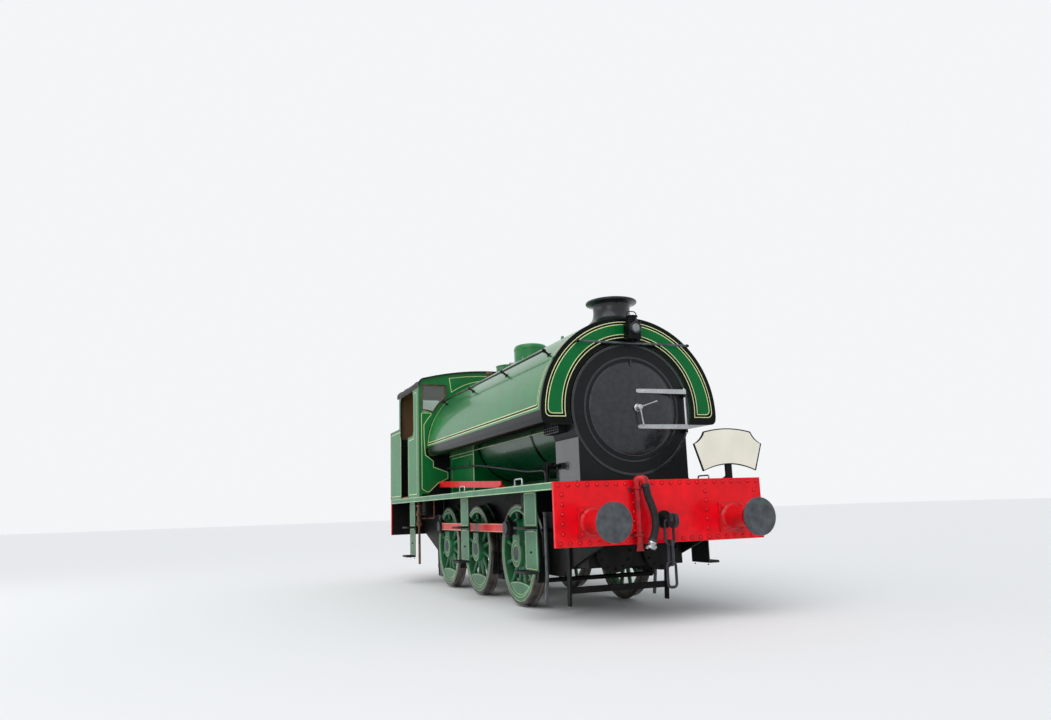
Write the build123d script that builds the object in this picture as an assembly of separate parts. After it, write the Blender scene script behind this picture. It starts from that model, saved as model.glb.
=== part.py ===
from build123d import *
import os
from math import cos, degrees, radians, sin, sqrt, tan

# A six-wheeled saddle tank shunting locomotive, in millimetres.
# +X is forward, +Y is the left side, +Z is up. The origin is on the floor that the wheel
# flanges stand on, half way along and on the centre line.

# Wheels, axles and coupling rods
tread_r = 647.5
flange_depth = 28.5
flange_w = 32
tyre_w = 140
tyre_t = 62
rim_t = 48
back_to_back = 1360
hub_r = 175
hub_proud = 30
spoke_count = 12
spoke_w = 52
spoke_t = 58
axle_r = 85
crank_throw = 330
crank_boss_r = 112
crank_pin_r = 62
rod_gap = 55
rod_t = 60
rod_depth = 126
rod_boss_r = 120
pin_collar_r = 88
pin_collar_t = 26
running_gap = 0.5
fit_gap = 0.2
side_gap = 1.0
inside_crank_y = 300
inside_pin_w = 120
crank_web_t = 105
crank_web_w = 250

# Frame plates
frame_t = 28
frame_inner = 610
frame_bottom = 430
horn_w = 240
axlebox_h = 270
horn_gap = 0.3
axlebox_proud = 12
stretcher_t = 25
frame_rise_x = 2650
frame_nose_rail_z = 858
leaf_count = 7
leaf_t = 13
leaf_w = 90
leaf_reach = 430
cylinder_rear_x = 2560
cylinder_front_x = 3420
cylinder_low = 560
cylinder_cover_r = 235
cylinder_cover_t = 50
brake_gap = 8
brake_shoe_t = 46

# Running plate and buffer beams
plate_rail_z = 1485
plate_t = 12
plate_half_w = 1292
valance_h = 72
valance_t = 14
beam_to_beam = 8186
beam_t = 40
beam_h = 678
beam_inset = 2
well_front_x = 2720
well_rear_x = -2060
deck_split = 1

# Buffers and draw gear
buffer_y = 867
buffer_rail_z = 1055
buffer_reach = 530
buffer_head_r = 203
buffer_head_t = 34
buffer_base = 330
buffer_base_t = 26
stock_r = 118
stock_end_r = 96
stock_len = 330
plunger_r = 66
hook_half = 22
shank_half = 42
hook_r = 84
hook_throat_r = 34
hook_eye_reach = 95
hook_throat_reach = 192
link_r = 15

# Boiler, smokebox and firebox, all on one centre line
boiler_rail_z = 2335
boiler_r = 700
smokebox_r = 783
smokebox_wall = 20
smokebox_rear_x = 2850
smokebox_front_x = 3516
smokebox_waist = 710
door_hole_r = 555
door_r = 600
door_rim_t = 14
door_dish = 78
dish_inset = 40
firebox_half_w = 750
firebox_front_x = -330
firebox_rear_x = -2050
firebox_gap = 20
firebox_base_z = 1150
firehole_w = 400
firehole_h = 300
firehole_above_plate = 520
firehole_depth = 160
hatch_gap = 0.3
bearer_y = 800
bearer_w = 120
bearer_h = 70
bearer_reach = 430

# Smokebox door: its pin stands beside the door, its straps lie on the dish
hinge_y = 690
hinge_stand = 62
hinge_pin_r = 15
hinge_low_rail_z = 2047
hinge_high_rail_z = 2572
strap_rail_z = [2540, 2118]
strap_h = 56
strap_t = 12
lug_h = 36
dart_y = 35
dart_r = 34
dart_boss_r = 42

# Saddle tank
tank_r = 1160
tank_rail_z = 2282
tank_inner_r = 800
tank_bottom_rail_z = 2150
tank_corner_r = 105
barrel_rib_x = 1500
firebox_rib_x = -1100
smokebox_rib_x = 3300
rib_half = 30
chimney_x = 3133
chimney_bore_r = 185
chimney_well_r = 225
chimney_rail_z = 3740
lip_cap_h = 27
valve_x = -1330
valve_y = 125
dome_x = 358
dome_r = 262
dome_h = 298
filler_x = -640
filler_r = 215
filler_h = 120
filler_wall = 14

# Cab and bunker
cab_front_x = -1718
cab_rear_x = -3300
cab_sheet = 10
eaves_rail_z = 3400
roof_crown_rail_z = 3666
roof_corner_r = 120
roof_front_over = 40
roof_rear_over = 110
bunker_rail_top = 2780

# Windows and doorways: what is left of the sheets beside and below them
window_side = 57
window_low_rail_z = 2940
window_h = 465
window_tank_lap = 370
window_tank_gap = 70
window_corner_r = 18
rear_window_y = 480
rear_window_w = 520
rear_window_low_rail_z = 2900
rear_window_h = 470
rear_window_corner_r = 60
glass_t = 6
glass_gap = 0.4
lookout_rear = 115
lookout_front = 427
lookout_low_rail_z = 2560
lookout_high_rail_z = 3370
lookout_corner_r = 130
doorway_rear = 170
doorway_w = 540
shovel_hole_w = 600
shovel_hole_h = 500

# Steps, sand boxes and injectors
step_inset = 167
step_t = 10
tread_reach = 160
tread_t = 14
sand_in = 700
sand_out = 1040
sand_h = 300
injector_x = -2430
injector_inset = 162

# Handrails and reach rod
rail_angle = 38.5
rail_stand = 85
rail_r = 15
front_rail_drop = 331
front_rail_stand = 75
loop_inset = 30
loop_h = 75
post_inset = 45
reach_inset = 362

# Front lamp and headboard
lamp_stand = 40
lamp_drop = 297
lamp_w = 160
lamp_h = 215
board_x = 4045
board_y = 922
board_t = 16
board_tip = 461
board_shoulder = 320
board_corner = 357
board_corner_rail_z = 1566
board_dip = 74
board_tip_rise = 308
board_shoulder_rise = 448
board_crown_rise = 486
board_iron_w = 80
board_iron_t = 30

# Vacuum brake pipes and hoses
pipe_y = -345
pipe_r = 36
pipe_stand = 62
elbow_rail_z = 1488
elbow_r = 41
collar_h = 26
collar_t = 5
hose_r = 42

# Derived heights and places
rail_z = flange_depth
axle_z = rail_z + tread_r
plate_top = rail_z + plate_rail_z
plate_low = plate_top - plate_t
valance_low = plate_low - valance_h
beam_low = plate_top - beam_h
beam_half_w = plate_half_w - beam_inset
beam_face = beam_to_beam / 2
beam_back = beam_face - beam_t
buffer_z = rail_z + buffer_rail_z
boiler_z = rail_z + boiler_rail_z
tank_z = rail_z + tank_rail_z
tank_top = tank_z + tank_r
tank_low = rail_z + tank_bottom_rail_z
eaves_z = rail_z + eaves_rail_z
roof_z = rail_z + roof_crown_rail_z
bunker_top = rail_z + bunker_rail_top
wheel_back = back_to_back / 2
wheel_face = wheel_back + tyre_w
wheel_mid = wheel_back + tyre_w / 2
hub_face = wheel_face + hub_proud
rod_inner = hub_face + rod_gap
rod_outer = rod_inner + rod_t
pin_end = rod_outer + side_gap + pin_collar_t
frame_outer = frame_inner + frame_t

# Axles: name, place along the locomotive
axles = [("leading", 1705), ("driving", -48), ("trailing", -1648)]
# Crank angle of each side at rest: the right crank leads by a quarter turn
crank_angle = {"right": 90, "left": 180}


def block(x0, x1, y0, y1, z0, z1):
    centre = Pos((x0 + x1) / 2, (y0 + y1) / 2, (z0 + z1) / 2)
    return centre * Box(x1 - x0, y1 - y0, z1 - z0)


def rod_x(y, z, r, x0, x1):
    return Pos((x0 + x1) / 2, y, z) * Rot(0, 90, 0) * Cylinder(r, x1 - x0)


def rod_y(x, z, r, y0, y1):
    return Pos(x, (y0 + y1) / 2, z) * Rot(90, 0, 0) * Cylinder(r, y1 - y0)


def rod_z(x, y, r, z0, z1):
    return Pos(x, y, (z0 + z1) / 2) * Cylinder(r, z1 - z0)


def side_prism(points, y0, y1):
    # An outline of (x, z) points, solid from y0 to y1
    edge = Polyline(*[(x, y0, z) for x, z in points], close=True)
    return extrude(make_face(edge), amount=y1 - y0, dir=(0, 1, 0))


def front_prism(points, x0, x1):
    # An outline of (y, z) points, solid from x0 to x1
    edge = Polyline(*[(x0, y, z) for y, z in points], close=True)
    return extrude(make_face(edge), amount=x1 - x0, dir=(1, 0, 0))


def floor_prism(points, z0, z1):
    # An outline of (x, y) points, solid from z0 to z1
    edge = Polyline(*[(x, y, z0) for x, y in points], close=True)
    return extrude(make_face(edge), amount=z1 - z0, dir=(0, 0, 1))


def turned(points):
    # An outline of (r, z) points turned about the Z axis
    edge = Polyline(*[(r, 0, z) for r, z in points], close=True)
    return revolve(make_face(edge), Axis.Z)


def tube(points, radii, r):
    # A round bar along straight runs that are joined by arcs
    path = FilletPolyline(*points, radius=radii)
    start = Plane(origin=path @ 0, z_dir=path % 0)
    return sweep(start * Circle(r), path=path)


def bar(start, end, r):
    # A round bar from one point to another
    way = Vector(*end) - Vector(*start)
    return Plane(origin=start, z_dir=way) * Pos(0, 0, way.length / 2) * Cylinder(r, way.length)


def both_sides(shape):
    return [shape, mirror(shape, about=Plane.XZ)]


def both_ends(shape):
    return [shape, mirror(shape, about=Plane.YZ)]


def turned_about(shape):
    # The same fitting at the other end, facing the other way
    return [shape, Rot(0, 0, 180) * shape]


def save(name, shapes):
    solids = [s for shape in shapes for s in shape.solids()]
    whole = solids[0] if len(solids) == 1 else Compound(children=solids)
    export_step(whole, f"parts/{name}.step")


# Wheels. Each is drawn lying down: local Z points outwards, local Y is up, and a turn about X
# stands it up as a right-hand wheel. A left-hand wheel is the mirror image of that.
def wheel(angle):
    flange_r = tread_r + flange_depth
    rim_in = tread_r - tyre_t - rim_t
    tyre = turned([(rim_in, wheel_back), (flange_r - 8, wheel_back), (flange_r, wheel_back + 9),
                   (flange_r, wheel_back + 18), (tread_r + 2, wheel_back + flange_w),
                   (tread_r, wheel_face - 6), (tread_r - 6, wheel_face), (rim_in + 12, wheel_face),
                   (rim_in, wheel_face - 26)])
    mid = wheel_back + tyre_w / 2
    spoke_out = rim_in + 10
    shape = tyre + Pos(0, 0, (wheel_back + hub_face) / 2) * Cylinder(hub_r, hub_face - wheel_back)
    for i in range(spoke_count):
        turn = angle + 360 * (i + 0.5) / spoke_count
        spoke = Pos((hub_r - 20 + spoke_out) / 2, 0, mid) * Box(spoke_out - hub_r + 20, spoke_w, spoke_t)
        shape = shape + Rot(0, 0, turn) * spoke
    boss = Pos(crank_throw, 0, (mid + hub_face) / 2) * Cylinder(crank_boss_r, hub_face - mid)
    web_w = 2 * crank_boss_r * 0.92
    web = Pos(crank_throw / 2, 0, (mid + hub_face - 6) / 2) * Box(crank_throw, web_w, hub_face - 6 - mid)
    shape = shape + Rot(0, 0, angle) * (boss + web)
    # The balance weight fills the rim opposite the crank
    chord = 0.70 * rim_in
    weight = Pos(0, 0, mid + 14) * Cylinder(rim_in + 10, spoke_t + 28)
    keep = Pos(-rim_in, 0, mid) * Box(2 * (rim_in - chord), 4 * rim_in, 2 * tyre_w)
    shape = shape + Rot(0, 0, angle) * (weight & keep)
    shape = shape - Pos(0, 0, mid) * Cylinder(axle_r + fit_gap, 2 * tyre_w)
    pin_hole = Pos(crank_throw, 0, mid) * Cylinder(crank_pin_r + fit_gap, 2 * tyre_w)
    return shape - Rot(0, 0, angle) * pin_hole


def crank_pin(angle):
    pin = Pos(0, 0, (wheel_back + tyre_w / 2 + pin_end) / 2) * Cylinder(
        crank_pin_r, pin_end - wheel_back - tyre_w / 2)
    inner = Pos(0, 0, (hub_face + rod_inner - side_gap) / 2) * Cylinder(
        pin_collar_r, rod_inner - side_gap - hub_face)
    outer = Pos(0, 0, pin_end - pin_collar_t / 2) * Cylinder(pin_collar_r, pin_collar_t)
    return Rot(0, 0, angle) * Pos(crank_throw, 0, 0) * Rot(0, 0, -angle) * (pin + inner + outer)


def stand_up(shape, side, x):
    right = Pos(x, 0, axle_z) * Rot(90, 0, 0) * shape
    return right if side == "right" else mirror(right, about=Plane.XZ)


def crank_axle(x):
    # The driving axle carries two inside cranks, each opposite its own side's crank pin
    shape = None
    for side, way in (("right", -1), ("left", 1)):
        turn = radians(crank_angle[side] + 180)
        pin_x = x + crank_throw * cos(turn)
        pin_z = axle_z + crank_throw * sin(turn)
        centre = way * inside_crank_y
        pin = rod_y(pin_x, pin_z, axle_r, centre - inside_pin_w / 2 - 10, centre + inside_pin_w / 2 + 10)
        shape = pin if shape is None else shape + pin
        for edge in (-1, 1):
            inner = centre + edge * inside_pin_w / 2
            low, high = sorted((inner, inner + edge * crank_web_t))
            web = Pos(crank_throw / 2, 0, 0) * Box(crank_throw + crank_web_w, high - low, crank_web_w)
            web = Pos(x, (low + high) / 2, axle_z) * Rot(0, -degrees(turn), 0) * web
            shape = shape + web
    outer = inside_crank_y + inside_pin_w / 2
    inner = inside_crank_y - inside_pin_w / 2
    for y0, y1 in ((-hub_face, -outer), (-inner, inner), (outer, hub_face)):
        shape = shape + rod_y(x, axle_z, axle_r, y0, y1)
    return shape


for name, x in axles:
    wheels = [stand_up(wheel(crank_angle[side]), side, x) for side in ("right", "left")]
    save(f"{name}_wheels", wheels)
    axle = crank_axle(x) if name == "driving" else rod_y(x, axle_z, axle_r, -hub_face, hub_face)
    pins = [stand_up(crank_pin(crank_angle[side]), side, x) for side in ("right", "left")]
    save(f"{name}_axle_and_pins", [axle] + pins)


def coupling_rod(side):
    angle = radians(crank_angle[side])
    dx = crank_throw * cos(angle)
    z = axle_z + crank_throw * sin(angle)
    first, last = axles[0][1] + dx, axles[-1][1] + dx
    y0, y1 = (-rod_outer, -rod_inner) if side == "right" else (rod_inner, rod_outer)
    shape = block(last, first, y0 + 8, y1 - 8, z - rod_depth / 2, z + rod_depth / 2)
    for _, x in axles:
        shape = shape + rod_y(x + dx, z, rod_boss_r, y0, y1)
    for _, x in axles:
        shape = shape - rod_y(x + dx, z, crank_pin_r + running_gap, y0 - 1, y1 + 1)
    return shape


save("coupling_rod_right", [coupling_rod("right")])
save("coupling_rod_left", [coupling_rod("left")])

# Frame plates with horn gaps for the axleboxes
horn_top = axle_z + axlebox_h / 2 + 40
nose_z = rail_z + frame_nose_rail_z
frame_form = [(beam_back, plate_low), (beam_back, nose_z), (frame_rise_x, frame_bottom)]
for _, x in axles:
    frame_form += [(x + horn_w / 2, frame_bottom), (x + horn_w / 2, horn_top),
                   (x - horn_w / 2, horn_top), (x - horn_w / 2, frame_bottom)]
frame_form += [(-frame_rise_x, frame_bottom), (-beam_back, nose_z), (-beam_back, plate_low)]
frame_plate = side_prism(frame_form, frame_inner, frame_outer)
save("main_frames", both_sides(frame_plate))

# Axleboxes slide in the horn gaps under their leaf springs, and a keeper closes each gap
boxes = []
for _, x in axles:
    half = horn_w / 2 - horn_gap
    box_low, box_high = axle_z - axlebox_h / 2, axle_z + axlebox_h / 2
    axlebox = block(x - half, x + half, frame_inner, frame_outer, box_low, box_high)
    axlebox = axlebox + block(x - half, x + half, frame_inner - 80, frame_inner, axle_z - 120, box_high)
    axlebox = axlebox + block(x - half, x + half, frame_outer, frame_outer + 2, axle_z - 120, axle_z + 120)
    axlebox = axlebox + block(x - half - 25, x + half + 25, frame_outer + 1, frame_outer + axlebox_proud,
                              box_low, box_high)
    spring_z = box_high + 40
    spring_y = frame_inner - 10 - leaf_w / 2
    for i in range(leaf_count):
        reach = leaf_reach * (1 - 0.11 * i)
        z = spring_z + (leaf_count - 1 - i) * leaf_t
        axlebox = axlebox + block(x - reach, x + reach, spring_y - leaf_w / 2, spring_y + leaf_w / 2,
                                  z - 0.5, z + leaf_t)
    axlebox = axlebox + block(x - 50, x + 50, spring_y - 52, spring_y + 52, box_high - 1,
                              spring_z + leaf_count * leaf_t + 12)
    axlebox = axlebox - rod_y(x, axle_z, axle_r + running_gap, frame_inner - 200, frame_outer + 60)
    boxes += both_sides(axlebox)
save("axleboxes_and_springs", boxes)

# Stretchers tie the two frames, and carry the cylinders' motion
stretchers = [
    block(900, 900 + stretcher_t, -frame_inner, frame_inner, 620, 1200),
    block(-2750, -2750 + stretcher_t, -frame_inner, frame_inner, 520, 1300),
    block(-beam_back + 130, -beam_back + 430, -frame_inner, frame_inner, 900, 1180),
]
save("frame_stretchers", stretchers)
cylinders = block(cylinder_rear_x, cylinder_front_x, -frame_inner, frame_inner, cylinder_low, plate_low)
for y in (-inside_crank_y, inside_crank_y):
    cylinders = cylinders + rod_x(y, axle_z + 60, cylinder_cover_r, cylinder_front_x,
                                  cylinder_front_x + cylinder_cover_t)
save("cylinder_block", [cylinders])

# Buffer beams
beam = block(beam_back, beam_face, -beam_half_w, beam_half_w, beam_low, plate_top)
hook_slot = block(beam_back - 1, beam_face + 1, -hook_half - horn_gap, hook_half + horn_gap,
                  buffer_z - shank_half - horn_gap, buffer_z + shank_half + horn_gap)
beam = beam - hook_slot
save("buffer_beams", both_ends(beam))

# Buffers: a square base and tapered stock, and a head on its plunger
stock = Pos(buffer_base_t / 2, 0, 0) * Box(buffer_base_t, buffer_base, buffer_base)
cone = Rot(0, 90, 0) * turned([(0, buffer_base_t), (stock_r + 24, buffer_base_t),
                               (stock_r, buffer_base_t + 30), (stock_end_r, stock_len - 24),
                               (stock_end_r + 10, stock_len - 24), (stock_end_r + 10, stock_len),
                               (0, stock_len)])
stock = stock + cone
head = Rot(0, 90, 0) * turned([(0, stock_len), (plunger_r, stock_len),
                               (plunger_r, buffer_reach - buffer_head_t - 26),
                               (plunger_r + 34, buffer_reach - buffer_head_t),
                               (buffer_head_r - 6, buffer_reach - buffer_head_t),
                               (buffer_head_r, buffer_reach - buffer_head_t + 8),
                               (buffer_head_r, buffer_reach - 8), (buffer_head_r - 8, buffer_reach),
                               (0, buffer_reach)])
stocks = []
heads = []
for y in (-buffer_y, buffer_y):
    place = Pos(beam_face, y, buffer_z)
    stocks += both_ends(place * stock)
    heads += both_ends(place * head)
save("buffer_stocks", stocks)
save("buffer_heads", heads)

# Running plates with their valances, one each side, meeting along the middle at both ends
edge_in = frame_inner - 10
plan = [(-beam_back, plate_half_w), (beam_back, plate_half_w), (beam_back, deck_split / 2),
        (well_front_x, deck_split / 2), (well_front_x, edge_in), (well_rear_x, edge_in),
        (well_rear_x, deck_split / 2), (-beam_back, deck_split / 2)]
deck = floor_prism(plan, plate_low, plate_top)
valance = block(-beam_back, beam_back, plate_half_w - valance_t, plate_half_w, valance_low, plate_low + 1)
save("running_plates", both_sides(deck + valance))

# Boiler barrel with its cladding bands
boiler = rod_x(0, boiler_z, boiler_r, firebox_front_x, smokebox_rear_x)
for x in (-290, 1960, 2800):
    boiler = boiler + rod_x(0, boiler_z, boiler_r + 5, x - 32, x + 32)
save("boiler", [boiler])

# Firebox: round topped above the running plate, narrow between the frames, ashpan below
upper = rod_x(0, boiler_z, firebox_half_w, firebox_rear_x, firebox_front_x)
upper = upper + block(firebox_rear_x, firebox_front_x, -firebox_half_w, firebox_half_w, plate_top, boiler_z)
inner_half = frame_inner - firebox_gap - 90
lower = block(firebox_rear_x + 5, firebox_front_x, -inner_half, inner_half, firebox_base_z, plate_top + 1)
ashpan = side_prism([(-500, firebox_base_z + 1), (-560, 820), (-1380, 560), (-1500, 800),
                     (-2000, 860), (-2000, firebox_base_z + 1)], -inner_half, inner_half)
firehole_z = plate_top + firehole_above_plate
firebox = upper + lower + ashpan
firebox = firebox - block(firebox_rear_x - 1, firebox_rear_x + firehole_depth, -firehole_w / 2,
                          firehole_w / 2, firehole_z - firehole_h / 2, firehole_z + firehole_h / 2)
save("firebox", [firebox])

# The firehole door hangs on a pin at its left edge
door_y = firehole_w / 2 + 60
fire_x = firebox_rear_x - 0.3
fire_door = block(fire_x - 18, fire_x, -firehole_w / 2 - 30, door_y - 22, firehole_z - firehole_h / 2 - 25,
                  firehole_z + firehole_h / 2 + 25)
fire_pin_x = fire_x - 30
for z in (firehole_z - 90, firehole_z + 90):
    fire_door = fire_door + block(fire_pin_x - 8, fire_x - 17, door_y - 60, door_y, z - 20, z + 20)
    fire_door = fire_door + rod_z(fire_pin_x, door_y, 20, z - 20, z + 20)
    fire_door = fire_door - rod_z(fire_pin_x, door_y, 11 + running_gap, z - 21, z + 21)
save("firehole_door", [fire_door])
fire_pin = rod_z(fire_pin_x, door_y, 11, firehole_z - 150, firehole_z + 150)
for z in (firehole_z - 140, firehole_z + 140):
    fire_pin = fire_pin + block(fire_pin_x - 14, firebox_rear_x, door_y - 14, door_y + 14,
                                z - 14, z + 14)
save("firehole_hinge", [fire_pin])

# Smokebox wrapper: a tube closed at the rear, with bearers for the tank and a hole for the chimney
wrapper = rod_x(0, boiler_z, smokebox_r, smokebox_rear_x, smokebox_front_x - smokebox_wall)
for y in (-bearer_y, bearer_y):
    wrapper = wrapper + block(smokebox_rear_x + 20, smokebox_rear_x + 20 + bearer_reach, y - bearer_w / 2,
                              y + bearer_w / 2, tank_low - bearer_h, tank_low)
wrapper = wrapper - rod_x(0, boiler_z, smokebox_r - smokebox_wall, smokebox_rear_x + smokebox_wall,
                          smokebox_front_x)
wrapper = wrapper - rod_z(chimney_x, 0, chimney_bore_r, boiler_z, boiler_z + smokebox_r + 50)
save("smokebox_wrapper", [wrapper])

# Smokebox front plate and the saddle behind it, down to the running plate
plate_x = smokebox_front_x - smokebox_wall
waist_drop = sqrt(smokebox_r ** 2 - smokebox_waist ** 2)
saddle = block(smokebox_rear_x, smokebox_front_x, -smokebox_waist, smokebox_waist, plate_top,
               boiler_z - waist_drop + 60)
saddle = saddle - rod_x(0, boiler_z, smokebox_r + fit_gap, smokebox_rear_x - 1, plate_x)
front = rod_x(0, boiler_z, smokebox_r, plate_x, smokebox_front_x)
front = front - rod_x(0, boiler_z, door_hole_r, plate_x - 1, smokebox_front_x + 1)
foot = block(smokebox_rear_x, smokebox_front_x + 45, -smokebox_waist - 45, smokebox_waist + 45,
             plate_top, plate_top + 14)
front = front + saddle + foot
# Hinge lugs that carry the smokebox door's pin
hinge_x = smokebox_front_x + hinge_stand
strap_z = [rail_z + z for z in strap_rail_z]
for z in strap_z:
    high = z - strap_h / 2 - side_gap
    front = front + block(smokebox_front_x - 1, hinge_x, hinge_y - 18, hinge_y + 18, high - lug_h, high)
    front = front + rod_z(hinge_x, hinge_y, 18, high - lug_h, high)
front = front + rod_z(hinge_x, hinge_y, hinge_pin_r, rail_z + hinge_low_rail_z, rail_z + hinge_high_rail_z)
save("smokebox_front", [front])

# Smokebox door: a dished disc, and its straps with knuckles on the hinge pin
door_back = smokebox_front_x + hatch_gap
dish_r = door_r - dish_inset
dish_edge = Polyline((0, 0, 0), (door_r, 0, 0), (door_r, 0, door_rim_t), (dish_r, 0, door_rim_t))
half_dish = door_rim_t + (door_dish - door_rim_t) * 0.75
dish_arc = ThreePointArc((dish_r, 0, door_rim_t), (dish_r / 2, 0, half_dish), (0, 0, door_dish))
dish_axis = Line((0, 0, door_dish), (0, 0, 0))
door = revolve(make_face(dish_edge.edges() + dish_arc.edges() + dish_axis.edges()), Axis.Z)
door = Pos(door_back, 0, boiler_z) * Rot(0, 90, 0) * door
# The straps lie against the dish, which is cut flat for them
strap_back = door_back + door_dish - 4
for z in strap_z:
    door = door - block(strap_back, strap_back + 50, -30, door_r, z - strap_h / 2 - hatch_gap,
                        z + strap_h / 2 + hatch_gap)
dart_z = boiler_z + 5
door = door - rod_x(dart_y, dart_z, dart_boss_r, strap_back, strap_back + 50)
save("smokebox_door", [door])
straps = []
for z in strap_z:
    strap = block(strap_back + 0.2, strap_back + strap_t, 20, hinge_y - 4, z - strap_h / 2, z + strap_h / 2)
    arm = block(hinge_x - 10, strap_back + strap_t, hinge_y - 45, hinge_y - 4,
                z - strap_h / 2, z + strap_h / 2)
    foot_pad = block(door_back + door_rim_t + 0.2, strap_back + 1, 530, 554, z - 12, z + 12)
    knuckle = rod_z(hinge_x, hinge_y, 26, z - strap_h / 2, z + strap_h / 2)
    strap = strap + arm + knuckle + foot_pad
    strap = strap - rod_z(hinge_x, hinge_y, hinge_pin_r + running_gap, z - strap_h, z + strap_h)
    straps.append(strap)
dart = rod_x(dart_y, dart_z, dart_r, strap_back + 0.2, strap_back + 85)
# Two handles on the centre screw: tip y, tip height above the rail, how far they stand out
for y, z, out in ((281, 2418, 40), (68, 2124, 66)):
    dart = dart + bar((strap_back + out, dart_y, dart_z), (strap_back + out, y, rail_z + z), 11)
save("door_straps", straps + [dart])

# Saddle tank: a round top with its lower corners rounded, astride the boiler
tank = rod_x(0, tank_z, tank_r, cab_front_x, smokebox_front_x)
tank = tank & block(cab_front_x - 1, smokebox_front_x + 1, -tank_r - 1, tank_r + 1, tank_low, tank_top + 1)
low_edges = tank.edges().filter_by(Axis.X).sort_by(Axis.Z)[:2]
tank = fillet(low_edges, tank_corner_r)
tank = tank - rod_x(0, boiler_z, tank_inner_r, cab_front_x - 1, smokebox_front_x + 1)
foot_y = sqrt(tank_inner_r ** 2 - (boiler_z - tank_low) ** 2)
tank = tank - block(cab_front_x - 1, smokebox_front_x + 1, -foot_y, foot_y, tank_low - 1, boiler_z)
# Saddle ribs that rest on the boiler, the firebox and the smokebox: place, radius below
for x, r in ((barrel_rib_x, boiler_r), (firebox_rib_x, firebox_half_w), (smokebox_rib_x, smokebox_r)):
    rib = rod_x(0, boiler_z, tank_inner_r + 5, x - rib_half, x + rib_half)
    rib = rib & block(x - rib_half - 1, x + rib_half + 1, -tank_r, tank_r, boiler_z, tank_top)
    tank = tank + (rib - rod_x(0, boiler_z, r + fit_gap, x - rib_half - 1, x + rib_half + 1))
tank = tank - rod_z(chimney_x, 0, chimney_well_r, boiler_z, tank_top + 10)
tank = tank - rod_z(filler_x, 0, filler_r + fit_gap, tank_top - 150, tank_top + 1)
tank_floor = rod_z(filler_x, 0, filler_r + filler_wall, tank_top - 150 - filler_wall, tank_top - 40)
tank_floor = tank_floor & rod_x(0, tank_z, tank_r - 1, cab_front_x, smokebox_front_x)
tank_floor = tank_floor - rod_z(filler_x, 0, filler_r + fit_gap, tank_top - 150, tank_top + 1)
save("saddle_tank", [tank + tank_floor])

# Filler neck, let into the tank's top, with the ears and the pin of its lid behind it
filler = rod_z(filler_x, 0, filler_r, tank_top - 150 + fit_gap, tank_top + filler_h)
filler = filler - rod_z(filler_x, 0, filler_r - filler_wall, tank_top - 151, tank_top + filler_h + 1)
lid_hinge_x = filler_x - filler_r - 30
lid_hinge_z = tank_top + filler_h + 6
for y in (-70, 70):
    ear_end = filler_x - sqrt(filler_r ** 2 - (abs(y) + 9) ** 2) + filler_wall * 0.7
    for x, z in ((lid_hinge_x + 20, lid_hinge_z + 14), (ear_end, tank_top + filler_h - 6)):
        filler = filler + block(lid_hinge_x - 20, x, y - 9, y + 9, lid_hinge_z - 60, z)
filler = filler + rod_y(lid_hinge_x, lid_hinge_z, 9, -79, 79)
save("filler_neck", [filler])

lid_low = tank_top + filler_h + hatch_gap
lid = rod_z(filler_x, 0, filler_r + 6, lid_low, lid_low + 16)
lid = lid + block(lid_hinge_x - 6, filler_x, -40, 40, lid_low + 1, lid_low + 15)
lid = lid + rod_y(lid_hinge_x, lid_hinge_z, 18, -55, 55)
lid = lid - rod_y(lid_hinge_x, lid_hinge_z, 9 + running_gap, -80, 80)
lid = lid + rod_y(filler_x + filler_r - 30, lid_low + 40, 8, -60, 60)
for y in (-56, 56):
    lid = lid + rod_z(filler_x + filler_r - 30, y, 8, lid_low + 10, lid_low + 44)
save("filler_lid", [lid])

# Chimney: a tube through the tank with a flared foot and a capped lip
chimney_top = rail_z + chimney_rail_z
lip_z = chimney_top - lip_cap_h
chimney_low = boiler_z + smokebox_r - 30
chimney = turned([(chimney_bore_r, chimney_low), (chimney_bore_r + 22, chimney_low),
                  (chimney_bore_r + 22, tank_top - 40), (340, tank_top - 40), (300, tank_top + 10),
                  (255, tank_top + 45), (232, tank_top + 95), (222, tank_top + 160), (226, lip_z - 70),
                  (250, lip_z - 62), (250, lip_z - 48), (232, lip_z - 44), (236, lip_z - 30),
                  (317, lip_z - 16), (317, lip_z + 12), (262, chimney_top), (chimney_bore_r, chimney_top)])
chimney = Pos(chimney_x, 0, 0) * chimney
outside = rod_x(0, tank_z, tank_r + fit_gap, chimney_x - 500, chimney_x + 500)
chimney = chimney - (outside - rod_z(chimney_x, 0, chimney_bore_r + 22.1, boiler_z, tank_top + 60))
chimney = chimney - rod_x(0, boiler_z, smokebox_r + fit_gap, chimney_x - 500, chimney_x + 500)
save("chimney", [chimney])

# Dome cover
dome_top = tank_top + dome_h
dome = turned([(0, tank_top - 60), (dome_r + 30, tank_top - 60), (dome_r + 30, tank_top + 4),
               (dome_r, tank_top + 16), (dome_r, dome_top - 60), (dome_r - 18, dome_top - 22),
               (dome_r - 60, dome_top - 4), (dome_r - 110, dome_top), (0, dome_top)])
dome = Pos(dome_x, 0, 0) * dome
dome = dome - rod_x(0, tank_z, tank_r + fit_gap, dome_x - 500, dome_x + 500)
save("dome", [dome])

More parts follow.
